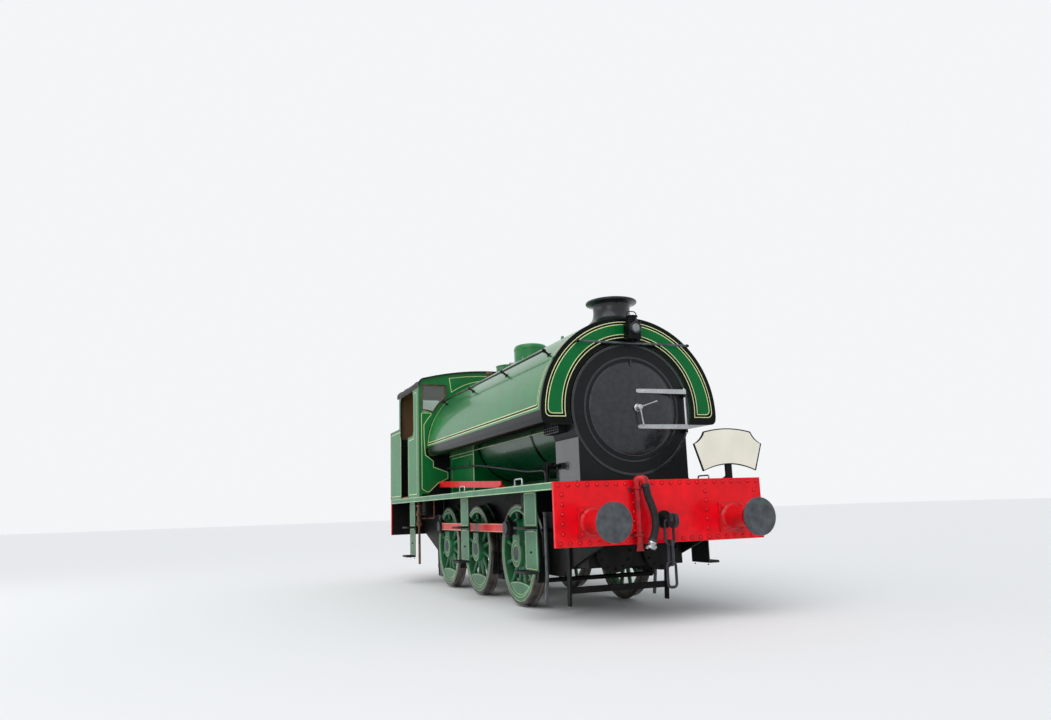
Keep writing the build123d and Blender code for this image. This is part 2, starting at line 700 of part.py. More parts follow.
# Two safety valves and the whistle, on the tank just ahead of the cab
valves = []
for y in (-valve_y, valve_y):
    seat = tank_z + sqrt((tank_r + fit_gap) ** 2 - (abs(y) - 62) ** 2)
    valve = turned([(0, 0), (62, 0), (62, 22), (44, 30), (44, 110), (56, 116), (56, 150), (40, 168),
                    (18, 176), (0, 176)])
    valves.append(Pos(valve_x, y, seat) * valve)
whistle = turned([(0, 0), (26, 0), (26, 10), (9, 12), (9, 60), (30, 66), (30, 150), (10, 160), (0, 160)])
valves.append(Pos(cab_front_x + 120, 210, tank_z + sqrt((tank_r + fit_gap) ** 2 - 184 ** 2)) * whistle)
save("valves_and_whistle", valves)


# Cab: the roof's inside outline bounds every sheet
def roof_form(half_w, crown, corner, x0, x1):
    crown_r = 5000
    form = rod_x(0, crown - crown_r, crown_r, x0, x1)
    form = form & block(x0, x1, -half_w, half_w, eaves_z - 400, crown + 1)
    edges = form.edges().filter_by(Axis.X).sort_by(Axis.Z)[-2:]
    return fillet(edges, corner)


side_out = plate_half_w
side_in = side_out - cab_sheet
inside_roof = roof_form(side_out, roof_z - cab_sheet, roof_corner_r, cab_rear_x - 400, cab_front_x + 400)
roof_x0 = cab_rear_x - roof_rear_over
roof_x1 = cab_front_x + roof_front_over
roof = roof_form(side_out + cab_sheet, roof_z, roof_corner_r + cab_sheet, roof_x0, roof_x1)
roof = roof - inside_roof
roof = roof & block(roof_x0, roof_x1, -2000, 2000, eaves_z - 30, roof_z + 1)
vent = block(-2750, -2250, -330, 330, roof_z - 30, roof_z + 38)
roof = roof + (vent - inside_roof)
save("cab_roof", [roof])

wall = block(cab_front_x - cab_sheet, cab_front_x, -side_in, side_in, plate_top, eaves_z - 300)
wall = wall + (block(cab_front_x - cab_sheet, cab_front_x, -side_in, side_in, eaves_z - 301, roof_z)
               & inside_roof)


def spectacle(y_side, x0, x1):
    # A window whose inner lower corner follows the tank
    low = rail_z + window_low_rail_z
    pane = block(x0, x1, tank_r - window_tank_lap, plate_half_w - window_side, low, low + window_h)
    pane = pane - rod_x(0, tank_z, tank_r + window_tank_gap, x0 - 1, x1 + 1)
    pane = fillet(pane.edges().filter_by(Axis.X), window_corner_r)
    return pane if y_side > 0 else mirror(pane, about=Plane.XZ)


def rear_light(y_side, x0, x1):
    low = rail_z + rear_window_low_rail_z
    pane = block(x0, x1, rear_window_y, rear_window_y + rear_window_w, low, low + rear_window_h)
    pane = fillet(pane.edges().filter_by(Axis.X), rear_window_corner_r)
    return pane if y_side > 0 else mirror(pane, about=Plane.XZ)


fire_hole = rod_x(0, boiler_z, firebox_half_w + fit_gap, cab_front_x - 50, cab_front_x + 50)
fire_hole = fire_hole + block(cab_front_x - 50, cab_front_x + 50, -firebox_half_w - fit_gap,
                              firebox_half_w + fit_gap, plate_top - 1, boiler_z)
wall = wall - fire_hole
for side in (-1, 1):
    wall = wall - spectacle(side, cab_front_x - 30, cab_front_x + 30)
save("cab_front", [wall])

back = block(cab_rear_x, cab_rear_x + cab_sheet, -side_in, side_in, plate_top, eaves_z - 300)
back = back + (block(cab_rear_x, cab_rear_x + cab_sheet, -side_in, side_in, eaves_z - 301, roof_z)
               & inside_roof)
for side in (-1, 1):
    back = back - rear_light(side, cab_rear_x - 30, cab_rear_x + 30)
shovel_hole = block(cab_rear_x - 30, cab_rear_x + 30, -shovel_hole_w / 2, shovel_hole_w / 2,
                    plate_top + 60, plate_top + 60 + shovel_hole_h)
back = back - shovel_hole
save("cab_rear", [back])

panes = []
for opening, mid in ((spectacle, cab_front_x - cab_sheet / 2), (rear_light, cab_rear_x + cab_sheet / 2)):
    slice_of_glass = block(mid - glass_t / 2, mid + glass_t / 2, -side_out, side_out, plate_top, roof_z)
    for side in (-1, 1):
        panes.append(offset(opening(side, mid - 30, mid + 30), -glass_gap) & slice_of_glass)
save("window_glass", panes)

# Cab sides with the lookout above and the doorway below
lookout = block(cab_rear_x + lookout_rear, cab_front_x - lookout_front, side_in - 30, side_out + 30,
                rail_z + lookout_low_rail_z, rail_z + lookout_high_rail_z)
lookout = fillet(lookout.edges().filter_by(Axis.Y), lookout_corner_r)
doorway = block(cab_rear_x + doorway_rear, cab_rear_x + doorway_rear + doorway_w, side_in - 30,
                side_out + 30, plate_top - 1, rail_z + lookout_low_rail_z + lookout_corner_r + 10)
side_sheet = block(cab_rear_x, cab_front_x, side_in, side_out, plate_top, eaves_z - 200)
side_sheet = side_sheet + (block(cab_rear_x, cab_front_x, side_in, side_out, eaves_z - 201, eaves_z)
                           & inside_roof)
side_sheet = side_sheet - lookout - doorway
save("cab_sides", both_sides(side_sheet))

# Bunker: sides and back, open on top
bunker = block(-beam_face, cab_rear_x, -side_out, side_out, plate_top, bunker_top)
bunker = bunker - block(-beam_face + cab_sheet, cab_rear_x + 1, -side_in, side_in,
                        plate_top - 1, bunker_top + 1)
save("bunker", [bunker])

# Steps: a hanging plate with two treads. Columns: middle x, upper tread top, lower tread top, width
steps = []
step_y = plate_half_w - step_inset
for x, upper_z, lower_z, width in ((3005, 1000, 505, 390), (368, 985, 505, 380), (-2940, 960, 450, 400)):
    half = width / 2
    step = block(x - half, x + half, step_y, step_y + step_t, rail_z + lower_z, plate_low)
    for z in (upper_z, lower_z):
        step = step + block(x - half, x + half, step_y, step_y + tread_reach,
                            rail_z + z - tread_t, rail_z + z)
    steps += both_sides(step)
save("steps", steps)

# Sand boxes under the running plate with a pipe down to the rail ahead of the leading wheels
sand = []
# Columns: rear end, front end, the pipe's place, and the way from the wheel
for x0, x1, feed_x, way in ((2440, 2780, 2525, 1), (-2680, -2360, -2420, -1)):
    sand_box = block(x0, x1, sand_in, sand_out, plate_low - sand_h, plate_low)
    feed = [(feed_x, wheel_mid, plate_low - sand_h + 1), (feed_x, wheel_mid, 420),
            (feed_x - way * 60, wheel_mid, 130)]
    sand += both_sides(sand_box + tube(feed, [60], 22))
save("sand_boxes", sand)

# Guard irons hang ahead of the outer wheels, with a tie bar between each pair
irons = []
for way, x in ((1, 2980), (-1, -2900)):
    guard_form = [(x - way * 45, 900), (x + way * 45, 900), (x + way * 35, 500), (x - way * 5, 110),
                  (x - way * 75, 110), (x - way * 45, 500)]
    guard = side_prism(guard_form, frame_outer, frame_outer + 26)
    tie = block(x - 34, x - 14, -frame_outer - 26, frame_outer + 26, 250, 326)
    irons.append(guard + mirror(guard, about=Plane.XZ) + tie)
save("guard_irons", irons)

# Brake rigging: a hanger and block ahead of each wheel, joined across by a beam
brake_r = tread_r + flange_depth + brake_gap
brakes = []
for _, x in axles:
    ring_out = rod_y(x, axle_z, brake_r + brake_shoe_t, wheel_back + 20, wheel_face - 10)
    ring_in = rod_y(x, axle_z, brake_r, wheel_back, wheel_face + 10)
    shoe = (ring_out - ring_in) & block(x + 400, x + 900, wheel_back, wheel_face, axle_z - 330, axle_z - 20)
    hang_x = x + brake_r + 26
    hanger = block(hang_x - 16, hang_x + 30, wheel_back + 30, wheel_back + 70, axle_z - 330, axle_z + 330)
    pivot = rod_y(hang_x + 7, axle_z + 300, 22, frame_outer, wheel_back + 90)
    side_set = both_sides(shoe + hanger + pivot)
    beam_x = hang_x + 7
    cross = rod_y(beam_x, axle_z - 300, 28, -wheel_back - 60, wheel_back + 60)
    brakes.append(side_set[0] + side_set[1] + cross)
save("brake_rigging", brakes)

# Handrails: along the tank, across its front, hand loops on the running plate and cab pillars
rails = []
rail_circle = tank_r + rail_stand
rail_y = rail_circle * cos(radians(rail_angle))
rail_height = tank_z + rail_circle * sin(radians(rail_angle))
rail_post = rod_y(0, 0, 12, tank_r + fit_gap, rail_circle)
knob = rod_y(0, 0, 22, rail_circle - 22, rail_circle + 22)
for side in (-1, 1):
    tank_rail = rod_x(side * rail_y, rail_height, rail_r, -1500, 3245)
    for x in (-1265, 230, 1725, 3220):
        turn = rail_angle if side > 0 else 180 - rail_angle
        tank_rail = tank_rail + Pos(x, 0, tank_z) * Rot(turn, 0, 0) * (rail_post + knob)
    rails.append(tank_rail)
front_rail_z = tank_top - front_rail_drop
front_rail_x = smokebox_front_x + front_rail_stand
front_rail = rod_y(front_rail_x, front_rail_z, 13, -720, 790)
for y in (-700, 770):
    front_rail = front_rail + rod_x(y, front_rail_z, 11, smokebox_front_x, front_rail_x)
rails.append(front_rail)
for x in (2995, 710):
    loop_y = plate_half_w - loop_inset
    loop = tube([(x - 120, loop_y, plate_top), (x - 120, loop_y, plate_top + loop_h),
                 (x + 120, loop_y, plate_top + loop_h), (x + 120, loop_y, plate_top)], [30, 30], 9)
    rails += both_sides(loop)
post_y = side_in - post_inset
for x in (cab_rear_x + doorway_rear - 30, cab_rear_x + doorway_rear + doorway_w + 30):
    door_rail = rod_z(x, post_y, 13, rail_z + 1560, rail_z + 2480)
    for z in (1600, 2440):
        door_rail = door_rail + rod_y(x, rail_z + z, 11, post_y, side_in)
    rails += both_sides(door_rail)
save("handrails", rails)

# Front lamp on its bracket, on the tank's front edge
lamp_x = smokebox_front_x + lamp_stand
lamp_low = tank_top - lamp_drop
lamp_top = lamp_low + lamp_h
lamp_mid = lamp_x + lamp_w / 2
lamp = block(lamp_x, lamp_x + lamp_w, -lamp_w / 2, lamp_w / 2, lamp_low, lamp_top)
lamp = lamp + rod_z(lamp_mid, 0, 60, lamp_top - 1, lamp_top + 60)
lamp = lamp + rod_z(lamp_mid, 0, 74, lamp_top + 59, lamp_top + 75)
lamp = lamp + rod_x(0, lamp_low + 115, 72, lamp_x + lamp_w - 1, lamp_x + lamp_w + 25)
lamp = lamp + tube([(lamp_mid, -62, lamp_top - 15), (lamp_mid, -62, lamp_top + 130),
                    (lamp_mid, 62, lamp_top + 130), (lamp_mid, 62, lamp_top - 15)], [50, 50], 6)
lamp = lamp + block(smokebox_front_x, lamp_x + 30, -22, 22, lamp_low - 11, lamp_low + 1)
lamp = lamp + block(smokebox_front_x, smokebox_front_x + 12, -22, 22, lamp_low - 11, lamp_low + 120)
save("front_lamp", [lamp])

# Headboard on an iron that stands on the running plate. Its lower edge is hollow, its shoulders too
board_z = rail_z + board_corner_rail_z
tip_z = board_z + board_tip_rise
shoulder_z = board_z + board_shoulder_rise
hollow = 20
edges = [ThreePointArc((board_x, board_y - board_corner, board_z), (board_x, board_y, board_z + board_dip),
                       (board_x, board_y + board_corner, board_z)),
         ThreePointArc((board_x, board_y - board_shoulder, shoulder_z),
                       (board_x, board_y, board_z + board_crown_rise),
                       (board_x, board_y + board_shoulder, shoulder_z))]
for side in (-1, 1):
    tip = (board_x, board_y + side * board_tip, tip_z)
    waist_y = (board_tip + board_shoulder) / 2 - hollow * 0.7
    waist = (board_x, board_y + side * waist_y, (tip_z + shoulder_z) / 2 - hollow * 0.7)
    edges.append(Line((board_x, board_y + side * board_corner, board_z), tip))
    edges.append(ThreePointArc(tip, waist, (board_x, board_y + side * board_shoulder, shoulder_z)))
board = extrude(make_face(edges), amount=board_t, dir=(1, 0, 0))
iron_y = board_iron_w / 2
board = board + block(board_x - board_iron_t, board_x, board_y - iron_y, board_y + iron_y, plate_top,
                      board_z + 300)
board = board + block(board_x - board_iron_t - 60, board_x, board_y - iron_y, board_y + iron_y, plate_top,
                      plate_top + 12)
save("headboard", [board])

# Reach rod from the cab to a bracket on the running plate, right side only
reach_y = reach_inset - plate_half_w
rod_slope = [(cab_front_x, rail_z + 1735), (cab_front_x, rail_z + 1635), (1450, rail_z + 1510),
             (1450, rail_z + 1600)]
reach = side_prism(rod_slope, reach_y - 9, reach_y + 9)
reach = reach + block(1330, 1470, reach_y - 40, reach_y + 40, plate_top, rail_z + 1540)
save("reach_rod", [reach])

# Vacuum brake standpipes at both ends. The hose hangs from the elbow to a stop low on the beam.
pipe_x = beam_face + pipe_stand
# Columns: forward of the standpipe, sideways, height above the rail
hose_route = [(52, -268, 1440), (54, -256, 1325), (56, -205, 1205), (56, -170, 1070),
              (52, -178, 940), (46, -222, 826)]
hose_points = [(pipe_x + x, y, rail_z + z) for x, y, z in hose_route]


def corner_radii(points, share):
    # Each arc takes the given share of the shorter run beside it
    radii = []
    for a, b, c in zip(points, points[1:], points[2:]):
        first = Vector(*b) - Vector(*a)
        second = Vector(*c) - Vector(*b)
        turn = radians(first.get_angle(second))
        radii.append(share * min(first.length, second.length) / tan(turn / 2))
    return radii


hose_radii = corner_radii(hose_points, 0.45)
hose = tube(hose_points, hose_radii, hose_r)
hoses = turned_about(hose)
save("front_vacuum_hose", [hoses[0]])
save("rear_vacuum_hose", [hoses[1]])

elbow = Vector(pipe_x, pipe_y, rail_z + elbow_rail_z)
mouth = Vector(*hose_points[0])
mouth_way = (Vector(*hose_points[1]) - mouth).normalized()
bend = mouth - mouth_way * (elbow.Z - mouth.Z)
standpipe = bar((pipe_x, pipe_y, rail_z + 740), tuple(elbow), pipe_r) + Pos(elbow) * Sphere(elbow_r)
standpipe = standpipe + bar(tuple(elbow), tuple(bend), pipe_r) + Pos(bend) * Sphere(elbow_r)
standpipe = standpipe + bar(tuple(bend), tuple(mouth), pipe_r)
standpipe = standpipe + bar(tuple(mouth - mouth_way * collar_h), tuple(mouth), hose_r + collar_t)
for z in (900, 1390):
    standpipe = standpipe + block(beam_face, pipe_x, pipe_y - 58, pipe_y + 58,
                                  rail_z + z - 25, rail_z + z + 25)
end = Vector(*hose_points[-1])
end_way = (end - Vector(*hose_points[-2])).normalized()
stop = bar(tuple(end), tuple(end + end_way * 70), hose_r + collar_t)
stop = stop + block(beam_face, end.X + 20, end.Y - 40, end.Y + 5, end.Z - 80, end.Z - 40)
save("vacuum_standpipes", turned_about(standpipe) + turned_about(stop))

# Drawhooks through the beams, with a chain of three links hanging from each
eye_x = beam_face + hook_eye_reach
eye_z = buffer_z - 4
throat_x = beam_face + hook_throat_reach
hook = block(beam_back - 90, throat_x - 40, -hook_half, hook_half, buffer_z - shank_half,
             buffer_z + shank_half)
hook = hook + rod_y(throat_x, buffer_z - 10, hook_r, -hook_half, hook_half)
hook = hook - rod_y(throat_x, buffer_z + 14, hook_throat_r, -30, 30)
hook = hook - block(throat_x - hook_throat_r, throat_x + hook_throat_r, -30, 30, buffer_z + 14,
                    buffer_z + 120)
hook = hook - rod_y(eye_x, eye_z, link_r + 3, -30, 30)
hook = hook + block(beam_back - 90, beam_back - 60, -60, 60, buffer_z - 60, buffer_z + 60)


def link(width, height, top_z, across):
    # A round-cornered link in the plane across the locomotive or along it
    ring = RectangleRounded(width, height, min(width, height) / 2 - 12)
    centre = (eye_x, 0, top_z - height / 2)
    place = Plane(centre, x_dir=(0, 1, 0), z_dir=(1, 0, 0))
    if not across:
        place = Plane(centre, x_dir=(1, 0, 0), z_dir=(0, -1, 0))
    path = (place * ring).wire()
    start = Plane(origin=path @ 0, z_dir=path % 0)
    return sweep(start * Circle(link_r), path=path)


drawn = [hook]
top_z = eye_z - 2.7
for width, height, across in ((104, 250, True), (96, 250, False), (104, 260, True)):
    drawn.append(link(width, height, top_z, across))
    top_z = top_z - height + 2 * link_r + 0.3
save("draw_gear", [end for shape in drawn for end in turned_about(shape)])

# Injectors hang from the running plate below the cab
injector_y = plate_half_w - injector_inset
injector = rod_z(injector_x, injector_y, 20, plate_low - 120, plate_low)
injector = injector + rod_z(injector_x, injector_y, 46, rail_z + 980, plate_low - 119)
injector = injector + rod_z(injector_x, injector_y, 60, rail_z + 1170, rail_z + 1200)
injector = injector + rod_z(injector_x, injector_y, 21, rail_z + 330, rail_z + 981)
save("injectors", both_sides(injector))
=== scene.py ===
from math import acos, asin, atan2, cos, degrees, hypot, pi, radians, sin, sqrt, tan

import bmesh
import bpy
from mathutils import Matrix, Vector


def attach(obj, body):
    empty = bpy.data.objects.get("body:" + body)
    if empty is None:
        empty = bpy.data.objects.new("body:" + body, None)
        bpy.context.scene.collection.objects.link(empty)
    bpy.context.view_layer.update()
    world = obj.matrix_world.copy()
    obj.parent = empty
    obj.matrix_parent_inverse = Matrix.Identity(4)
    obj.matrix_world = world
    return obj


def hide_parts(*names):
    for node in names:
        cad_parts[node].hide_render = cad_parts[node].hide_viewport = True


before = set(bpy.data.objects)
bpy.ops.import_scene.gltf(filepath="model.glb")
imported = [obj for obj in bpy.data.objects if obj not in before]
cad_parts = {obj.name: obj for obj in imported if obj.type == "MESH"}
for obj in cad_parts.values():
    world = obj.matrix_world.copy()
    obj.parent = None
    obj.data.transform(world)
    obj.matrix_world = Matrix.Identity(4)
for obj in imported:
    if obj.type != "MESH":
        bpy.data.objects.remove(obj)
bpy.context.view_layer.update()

# Lengths are millimetres in the CAD's frame. Pieces are scaled to metres when they are made.
MM = 0.001
RAIL = 28.5
TREAD_R = 647.5
RIM_IN = TREAD_R - 110
AXLE_Z = RAIL + TREAD_R
AXLES = (("leading", 1705), ("driving", -48), ("trailing", -1648))
# Columns: side, its way along Y, its axis, its crank's angle
SIDES = (("right", -1, "-y", 90), ("left", 1, "y", 180))
THROW = 330
WHEEL_MID = 750
PLATE_TOP = RAIL + 1485
PLATE_LOW = PLATE_TOP - 12
VALANCE_LOW = PLATE_LOW - 72
PLATE_HALF = 1292
BEAM_FACE = 4093
BEAM_LOW = PLATE_TOP - 678
BUFFER_Y = 867
BUFFER_Z = RAIL + 1055
BOILER_Z = RAIL + 2335
TANK_Z = RAIL + 2282
TANK_R = 1160
TANK_LOW = RAIL + 2150
TANK_TOP = TANK_Z + TANK_R
SMOKE_FRONT = 3516
CAB_FRONT = -1718
CAB_REAR = -3300
EAVES = RAIL + 3400
ROOF = RAIL + 3666
ROOF_R = 5000
BUNKER_TOP = RAIL + 2780
SHEET = 10
# The shovel hole between bunker and cab
HOLE_HALF = 300
HOLE_LOW = PLATE_TOP + 60
HOLE_HIGH = PLATE_TOP + 560
# The headboard's foot, and its back and front faces
BOARD_Y = 922
BOARD_Z = RAIL + 1566
BOARD_BACK = 4045
BOARD_FRONT = 4061
# Places along X: chimney, dome, filler, safety valves, the cylinders' front ends, and in the cab the
# boiler's back end, the reversing lever and the brake column
CHIMNEY_X = 3133
DOME_X = 358
FILLER_X = -640
SAFETY_X = -1330
CYLINDER_X = 3470
BACKHEAD = -2050
LEVER_X = -2330
BRAKE_X = -2300
# Distances from the centre line: safety valves, cylinders, and the steps' plates
SAFETY_Y = 125
CYLINDER_Y = 300
STEP_Y = 1135


# Node trees
def feed(node, inputs):
    """Set a node's inputs: each takes a value, or another node's output."""
    for key, value in inputs.items():
        if isinstance(value, bpy.types.NodeSocket):
            node.id_data.links.new(value, node.inputs[key])
        else:
            node.inputs[key].default_value = value


def add(tree, kind, inputs, **settings):
    node = tree.nodes.new("ShaderNode" + kind)
    for key, value in settings.items():
        setattr(node, key, value)
    feed(node, inputs)
    return node


def new_material(name):
    mat = bpy.data.materials.new(name)
    mat.use_nodes = True
    return mat, mat.node_tree, mat.node_tree.nodes["Principled BSDF"]


def linear(rgb):
    return tuple((c / 255 / 12.92) if c / 255 <= 0.04045 else ((c / 255 + 0.055) / 1.055) ** 2.4
                 for c in rgb) + (1.0,)


def surface(name, rgb, rough=0.4, metal=0.0, coat=0.0, vary=0.12, grain=3.0, bump=0.05, bump_scale=60.0,
            rough_vary=0.12, dust=None, dust_low=0.0, dust_high=1.5, dust_share=0.5, coat_rough=0.08,
            spec=0.3, inside=None):
    """Paint or metal whose colour, gloss and surface vary a little from place to place."""
    mat, tree, shader = new_material(name)
    place = add(tree, "TexCoord", {}).outputs["Object"]

    def noise(scale, detail):
        return add(tree, "TexNoise", {"Scale": scale, "Detail": detail, "Vector": place}).outputs["Fac"]

    ramp = add(tree, "ValToRGB", {"Fac": noise(grain, 6)})
    for stop, position, k in zip(ramp.color_ramp.elements, (0.32, 0.7), (1 - vary, 1 + vary)):
        stop.position = position
        stop.color = linear(min(255, c * k) for c in rgb)
    colour = ramp.outputs["Color"]
    if dust:
        # Dust and grime gather low down, in patches
        height = add(tree, "SeparateXYZ", {0: place}).outputs["Z"]
        low = add(tree, "MapRange", {"Value": height, "From Min": dust_high, "From Max": dust_low,
                                     "To Max": dust_share}).outputs["Result"]
        patch = add(tree, "MapRange", {"Value": noise(9.0, 8), "From Min": 0.38,
                                       "From Max": 0.62}).outputs["Result"]
        share = add(tree, "Math", {0: low, 1: patch}, operation="MULTIPLY").outputs[0]
        colour = add(tree, "Mix", {"Factor": share, "A": colour, "B": linear(dust)},
                     data_type="RGBA").outputs["Result"]
    if inside:
        # Faces that look towards a place inside a hollow piece have another paint, and coal black below
        # the waist
        centre, paint = inside
        spot = add(tree, "NewGeometry", {}).outputs
        away = add(tree, "VectorMath", {0: spot["Position"], 1: centre}, operation="SUBTRACT").outputs[0]
        facing = add(tree, "VectorMath", {0: away, 1: spot["True Normal"]},
                     operation="DOT_PRODUCT").outputs["Value"]
        inner = add(tree, "Math", {0: facing, 1: 0.0}, operation="LESS_THAN").outputs[0]
        height = add(tree, "SeparateXYZ", {0: spot["Position"]}).outputs["Z"]
        above = add(tree, "Math", {0: height, 1: WAIST}, operation="GREATER_THAN").outputs[0]
        coats = add(tree, "Mix", {"Factor": above, "A": linear(COAL), "B": linear(paint)},
                    data_type="RGBA").outputs["Result"]
        colour = add(tree, "Mix", {"Factor": inner, "A": colour, "B": coats},
                     data_type="RGBA").outputs["Result"]
    gloss = add(tree, "MapRange", {"Value": noise(14.0, 5), "To Min": max(0.02, rough - rough_vary),
                                   "To Max": min(1.0, rough + rough_vary)}).outputs["Result"]
    feed(shader, {"Metallic": metal, "Coat Weight": coat, "Coat Roughness": coat_rough,
                  "Specular IOR Level": spec, "Base Color": colour, "Roughness": gloss})
    if bump:
        rise = add(tree, "Bump", {"Strength": bump, "Distance": 0.002, "Height": noise(bump_scale, 4)})
        feed(shader, {"Normal": rise.outputs["Normal"]})
    return mat


def glass_material(name, rgb, rough, weight):
    mat, _, shader = new_material(name)
    feed(shader, {"Base Color": linear(rgb), "Roughness": rough, "Transmission Weight": weight, "IOR": 1.45})
    return mat


# Materials
GRIME = (60, 54, 48)
BUFF = (112, 86, 58)
COAL = (22, 21, 20)
GREEN = (0, 112, 50)
# Height of the cab's waist, and the middles of the cab and the bunker, in metres
WAIST = 2.62
IN_CAB = ((-2.51, 0, 2.5), BUFF)
IN_BUNKER = ((-3.7, 0, 2.2), COAL)
SMOOTH = dict(bump_scale=35, rough_vary=0.06)
green = surface("green_paint", GREEN, 0.3, coat=0.35, vary=0.06, **SMOOTH)
cab_green = surface("cab_green", GREEN, 0.36, coat=0.1, vary=0.06, inside=IN_CAB, **SMOOTH)
bunker_green = surface("bunker_green", GREEN, 0.36, coat=0.1, vary=0.06, bump=0.06, bump_scale=35,
                       inside=IN_BUNKER)
arch_green = surface("arch_green", (0, 106, 50), 0.34, coat=0.1, vary=0.05, spec=0.12, **SMOOTH)
# The boiler's green is a darker copy of the tank's green: painted shade from the tank above it
boiler_shade_green = surface("boiler_shade_green", (4, 76, 44), 0.3, coat=0.4, bump=0.03, bump_scale=40, rough_vary=0.08)
green_low = surface("green_paint_low", (40, 114, 74), 0.42, coat=0.15, dust=(84, 80, 70), dust_share=0.6,
                    bump=0.08, bump_scale=50, spec=0.35)
lining = surface("lining_yellow", (232, 244, 176), 0.42, coat=0.2, vary=0.05, bump=0.0)
lining_low = surface("lining_pale", (186, 208, 158), 0.45, coat=0.1, vary=0.1, bump=0.0, dust=GRIME,
                     dust_share=0.4)
black = surface("black_gloss", (7, 8, 9), 0.22, coat=0.04, vary=0.25, bump=0.04, bump_scale=40,
                rough_vary=0.08, spec=0.1)
# A lighter black than the smokebox's, for the saddle's sides: a painted sheen
sheen_sheet_black = surface("sheen_sheet_black", (52, 54, 58), 0.2, coat=0.7, vary=0.25, bump=0.12, bump_scale=14,
                      rough_vary=0.08)
black_low = surface("black_grimy", (13, 13, 14), 0.5, vary=0.3, dust=GRIME, dust_share=0.25, bump=0.25,
                    bump_scale=90, spec=0.14)
smoke_black = surface("smokebox_black", (19, 21, 23), 0.44, spec=0.2, vary=0.14, grain=5, bump=0.18,
                      bump_scale=70, rough_vary=0.1)
# A lighter black than the smokebox's and the door rim's, for the door's dish: a painted sheen
door_sheen_black = surface("door_sheen_black", (31, 34, 38), 0.26, coat=0.4, vary=0.3, grain=14, bump=0.35,
                     bump_scale=34, rough_vary=0.14, coat_rough=0.14)
# A lighter black than the smokebox's, for its edge rings: a painted highlight
rim_highlight_black = surface("rim_highlight_black", (34, 37, 41), 0.26, coat=0.35, vary=0.2, grain=14, bump=0.2)
chimney_black = surface("chimney_black", (25, 28, 31), 0.28, coat=0.25, vary=0.15, grain=5, bump=0.12,
                        coat_rough=0.2)
roof_black = surface("roof_black", (20, 22, 24), 0.55, vary=0.25, grain=2, bump=0.2, bump_scale=50,
                     inside=IN_CAB)
red = surface("red_paint", (250, 2, 24), 0.34, coat=0.14, vary=0.08, grain=4, bump=0.09, bump_scale=26,
              dust=(168, 8, 20), dust_low=0.6, dust_high=1.9, dust_share=0.4, spec=0.2)
stock_red = surface("stock_red", (226, 8, 24), 0.36, coat=0.2, vary=0.14, grain=9, bump=0.2,
                    dust=(96, 22, 22), dust_low=0.8, dust_share=0.8)
pipe_red = surface("pipe_red", (176, 14, 26), 0.4, coat=0.15, vary=0.2, grain=12, bump=0.2,
                   dust=(84, 34, 32), dust_low=0.7, dust_high=1.9, dust_share=0.6)
# Dark red for the rings round the beam's rivets: painted shade at the rivets' feet
red_shade_rings = surface("red_shade_rings", (146, 6, 18), 0.5, vary=0.2, bump=0.1)
red_low = surface("red_paint_low", (222, 18, 32), 0.4, coat=0.2, vary=0.1, dust=(96, 40, 36),
                  dust_share=0.35, bump=0.1)
steel = surface("bright_steel", (176, 178, 180), 0.3, metal=0.9, vary=0.06, grain=6, bump=0.03,
                bump_scale=120, rough_vary=0.06, spec=0.5)
worn_steel = surface("tyre_steel", (96, 90, 86), 0.35, metal=1.0, vary=0.2, grain=8, bump=0.08,
                     bump_scale=120)
iron = surface("dark_iron", (56, 59, 64), 0.46, metal=0.5, vary=0.2, grain=10, bump=0.25, bump_scale=120,
               rough_vary=0.14)
pipe_grey = surface("pipe_grey", (104, 107, 110), 0.5, metal=0.3, vary=0.15, grain=8, bump=0.1)
greasy = surface("greasy_plate", (78, 82, 86), 0.4, metal=0.35, vary=0.16, grain=11, bump=0.3,
                 bump_scale=80, rough_vary=0.16)
rail_grey = surface("rail_grey", (84, 88, 92), 0.34, metal=0.6, vary=0.2, grain=8, bump=0.08)
brass = surface("brass", (158, 126, 72), 0.34, metal=1.0, vary=0.2, grain=12, bump=0.1, bump_scale=90)
bronze = surface("dull_bronze", (92, 74, 56), 0.5, metal=0.7, vary=0.25, grain=12, bump=0.2, bump_scale=90)
copper = surface("copper_pipe", (112, 76, 60), 0.46, metal=0.8, vary=0.25, grain=12, bump=0.1)
cream = surface("cream_board", (240, 236, 220), 0.5, vary=0.025, grain=4, bump_scale=80)
rubber = surface("ribbed_rubber", (30, 31, 32), 0.6, vary=0.25, grain=20, bump=0.3, bump_scale=200)
wood = surface("cab_wood", (142, 98, 56), 0.55, vary=0.22, grain=5, bump=0.15, bump_scale=40)
tread_black = surface("tread_plate", (22, 22, 23), 0.6, vary=0.3, bump=0.4, bump_scale=110)
white = surface("white_edge", (222, 224, 216), 0.5, vary=0.08)
glass = glass_material("window_glass", (206, 216, 210), 0.03, 0.92)
lens_glass = glass_material("lamp_lens", (236, 240, 236), 0.05, 0.8)


# Mesh builders: each adds closed shells to a bmesh
def shells(count):
    return [bmesh.new() for _ in range(count)]


def again(*copied, x=1, y=-1):
    """Add what each bmesh holds once more: on the other side, or with x=-1 turned to the other end."""
    for bm in copied:
        found = bmesh.ops.duplicate(bm, geom=bm.verts[:] + bm.edges[:] + bm.faces[:])["geom"]
        for v in found:
            if isinstance(v, bmesh.types.BMVert):
                v.co.x *= x
                v.co.y *= y


def polar(r, a):
    return r * cos(radians(a)), r * sin(radians(a))


def aim(origin, axis):
    """A frame at origin whose local Z points along axis, such as "x", "-y" or a vector."""
    if isinstance(axis, str):
        sign = -1 if axis[0] == "-" else 1
        axis = [sign * (axis[-1] == name) for name in "xyz"]
    way = Vector(axis).normalized()
    across = Vector((0, 0, 1)) if abs(way.z) < 0.9 else Vector((1, 0, 0))
    side = across.cross(way).normalized()
    turn = Matrix((side, way.cross(side), way)).transposed().to_4x4()
    return Matrix.Translation(origin) @ turn


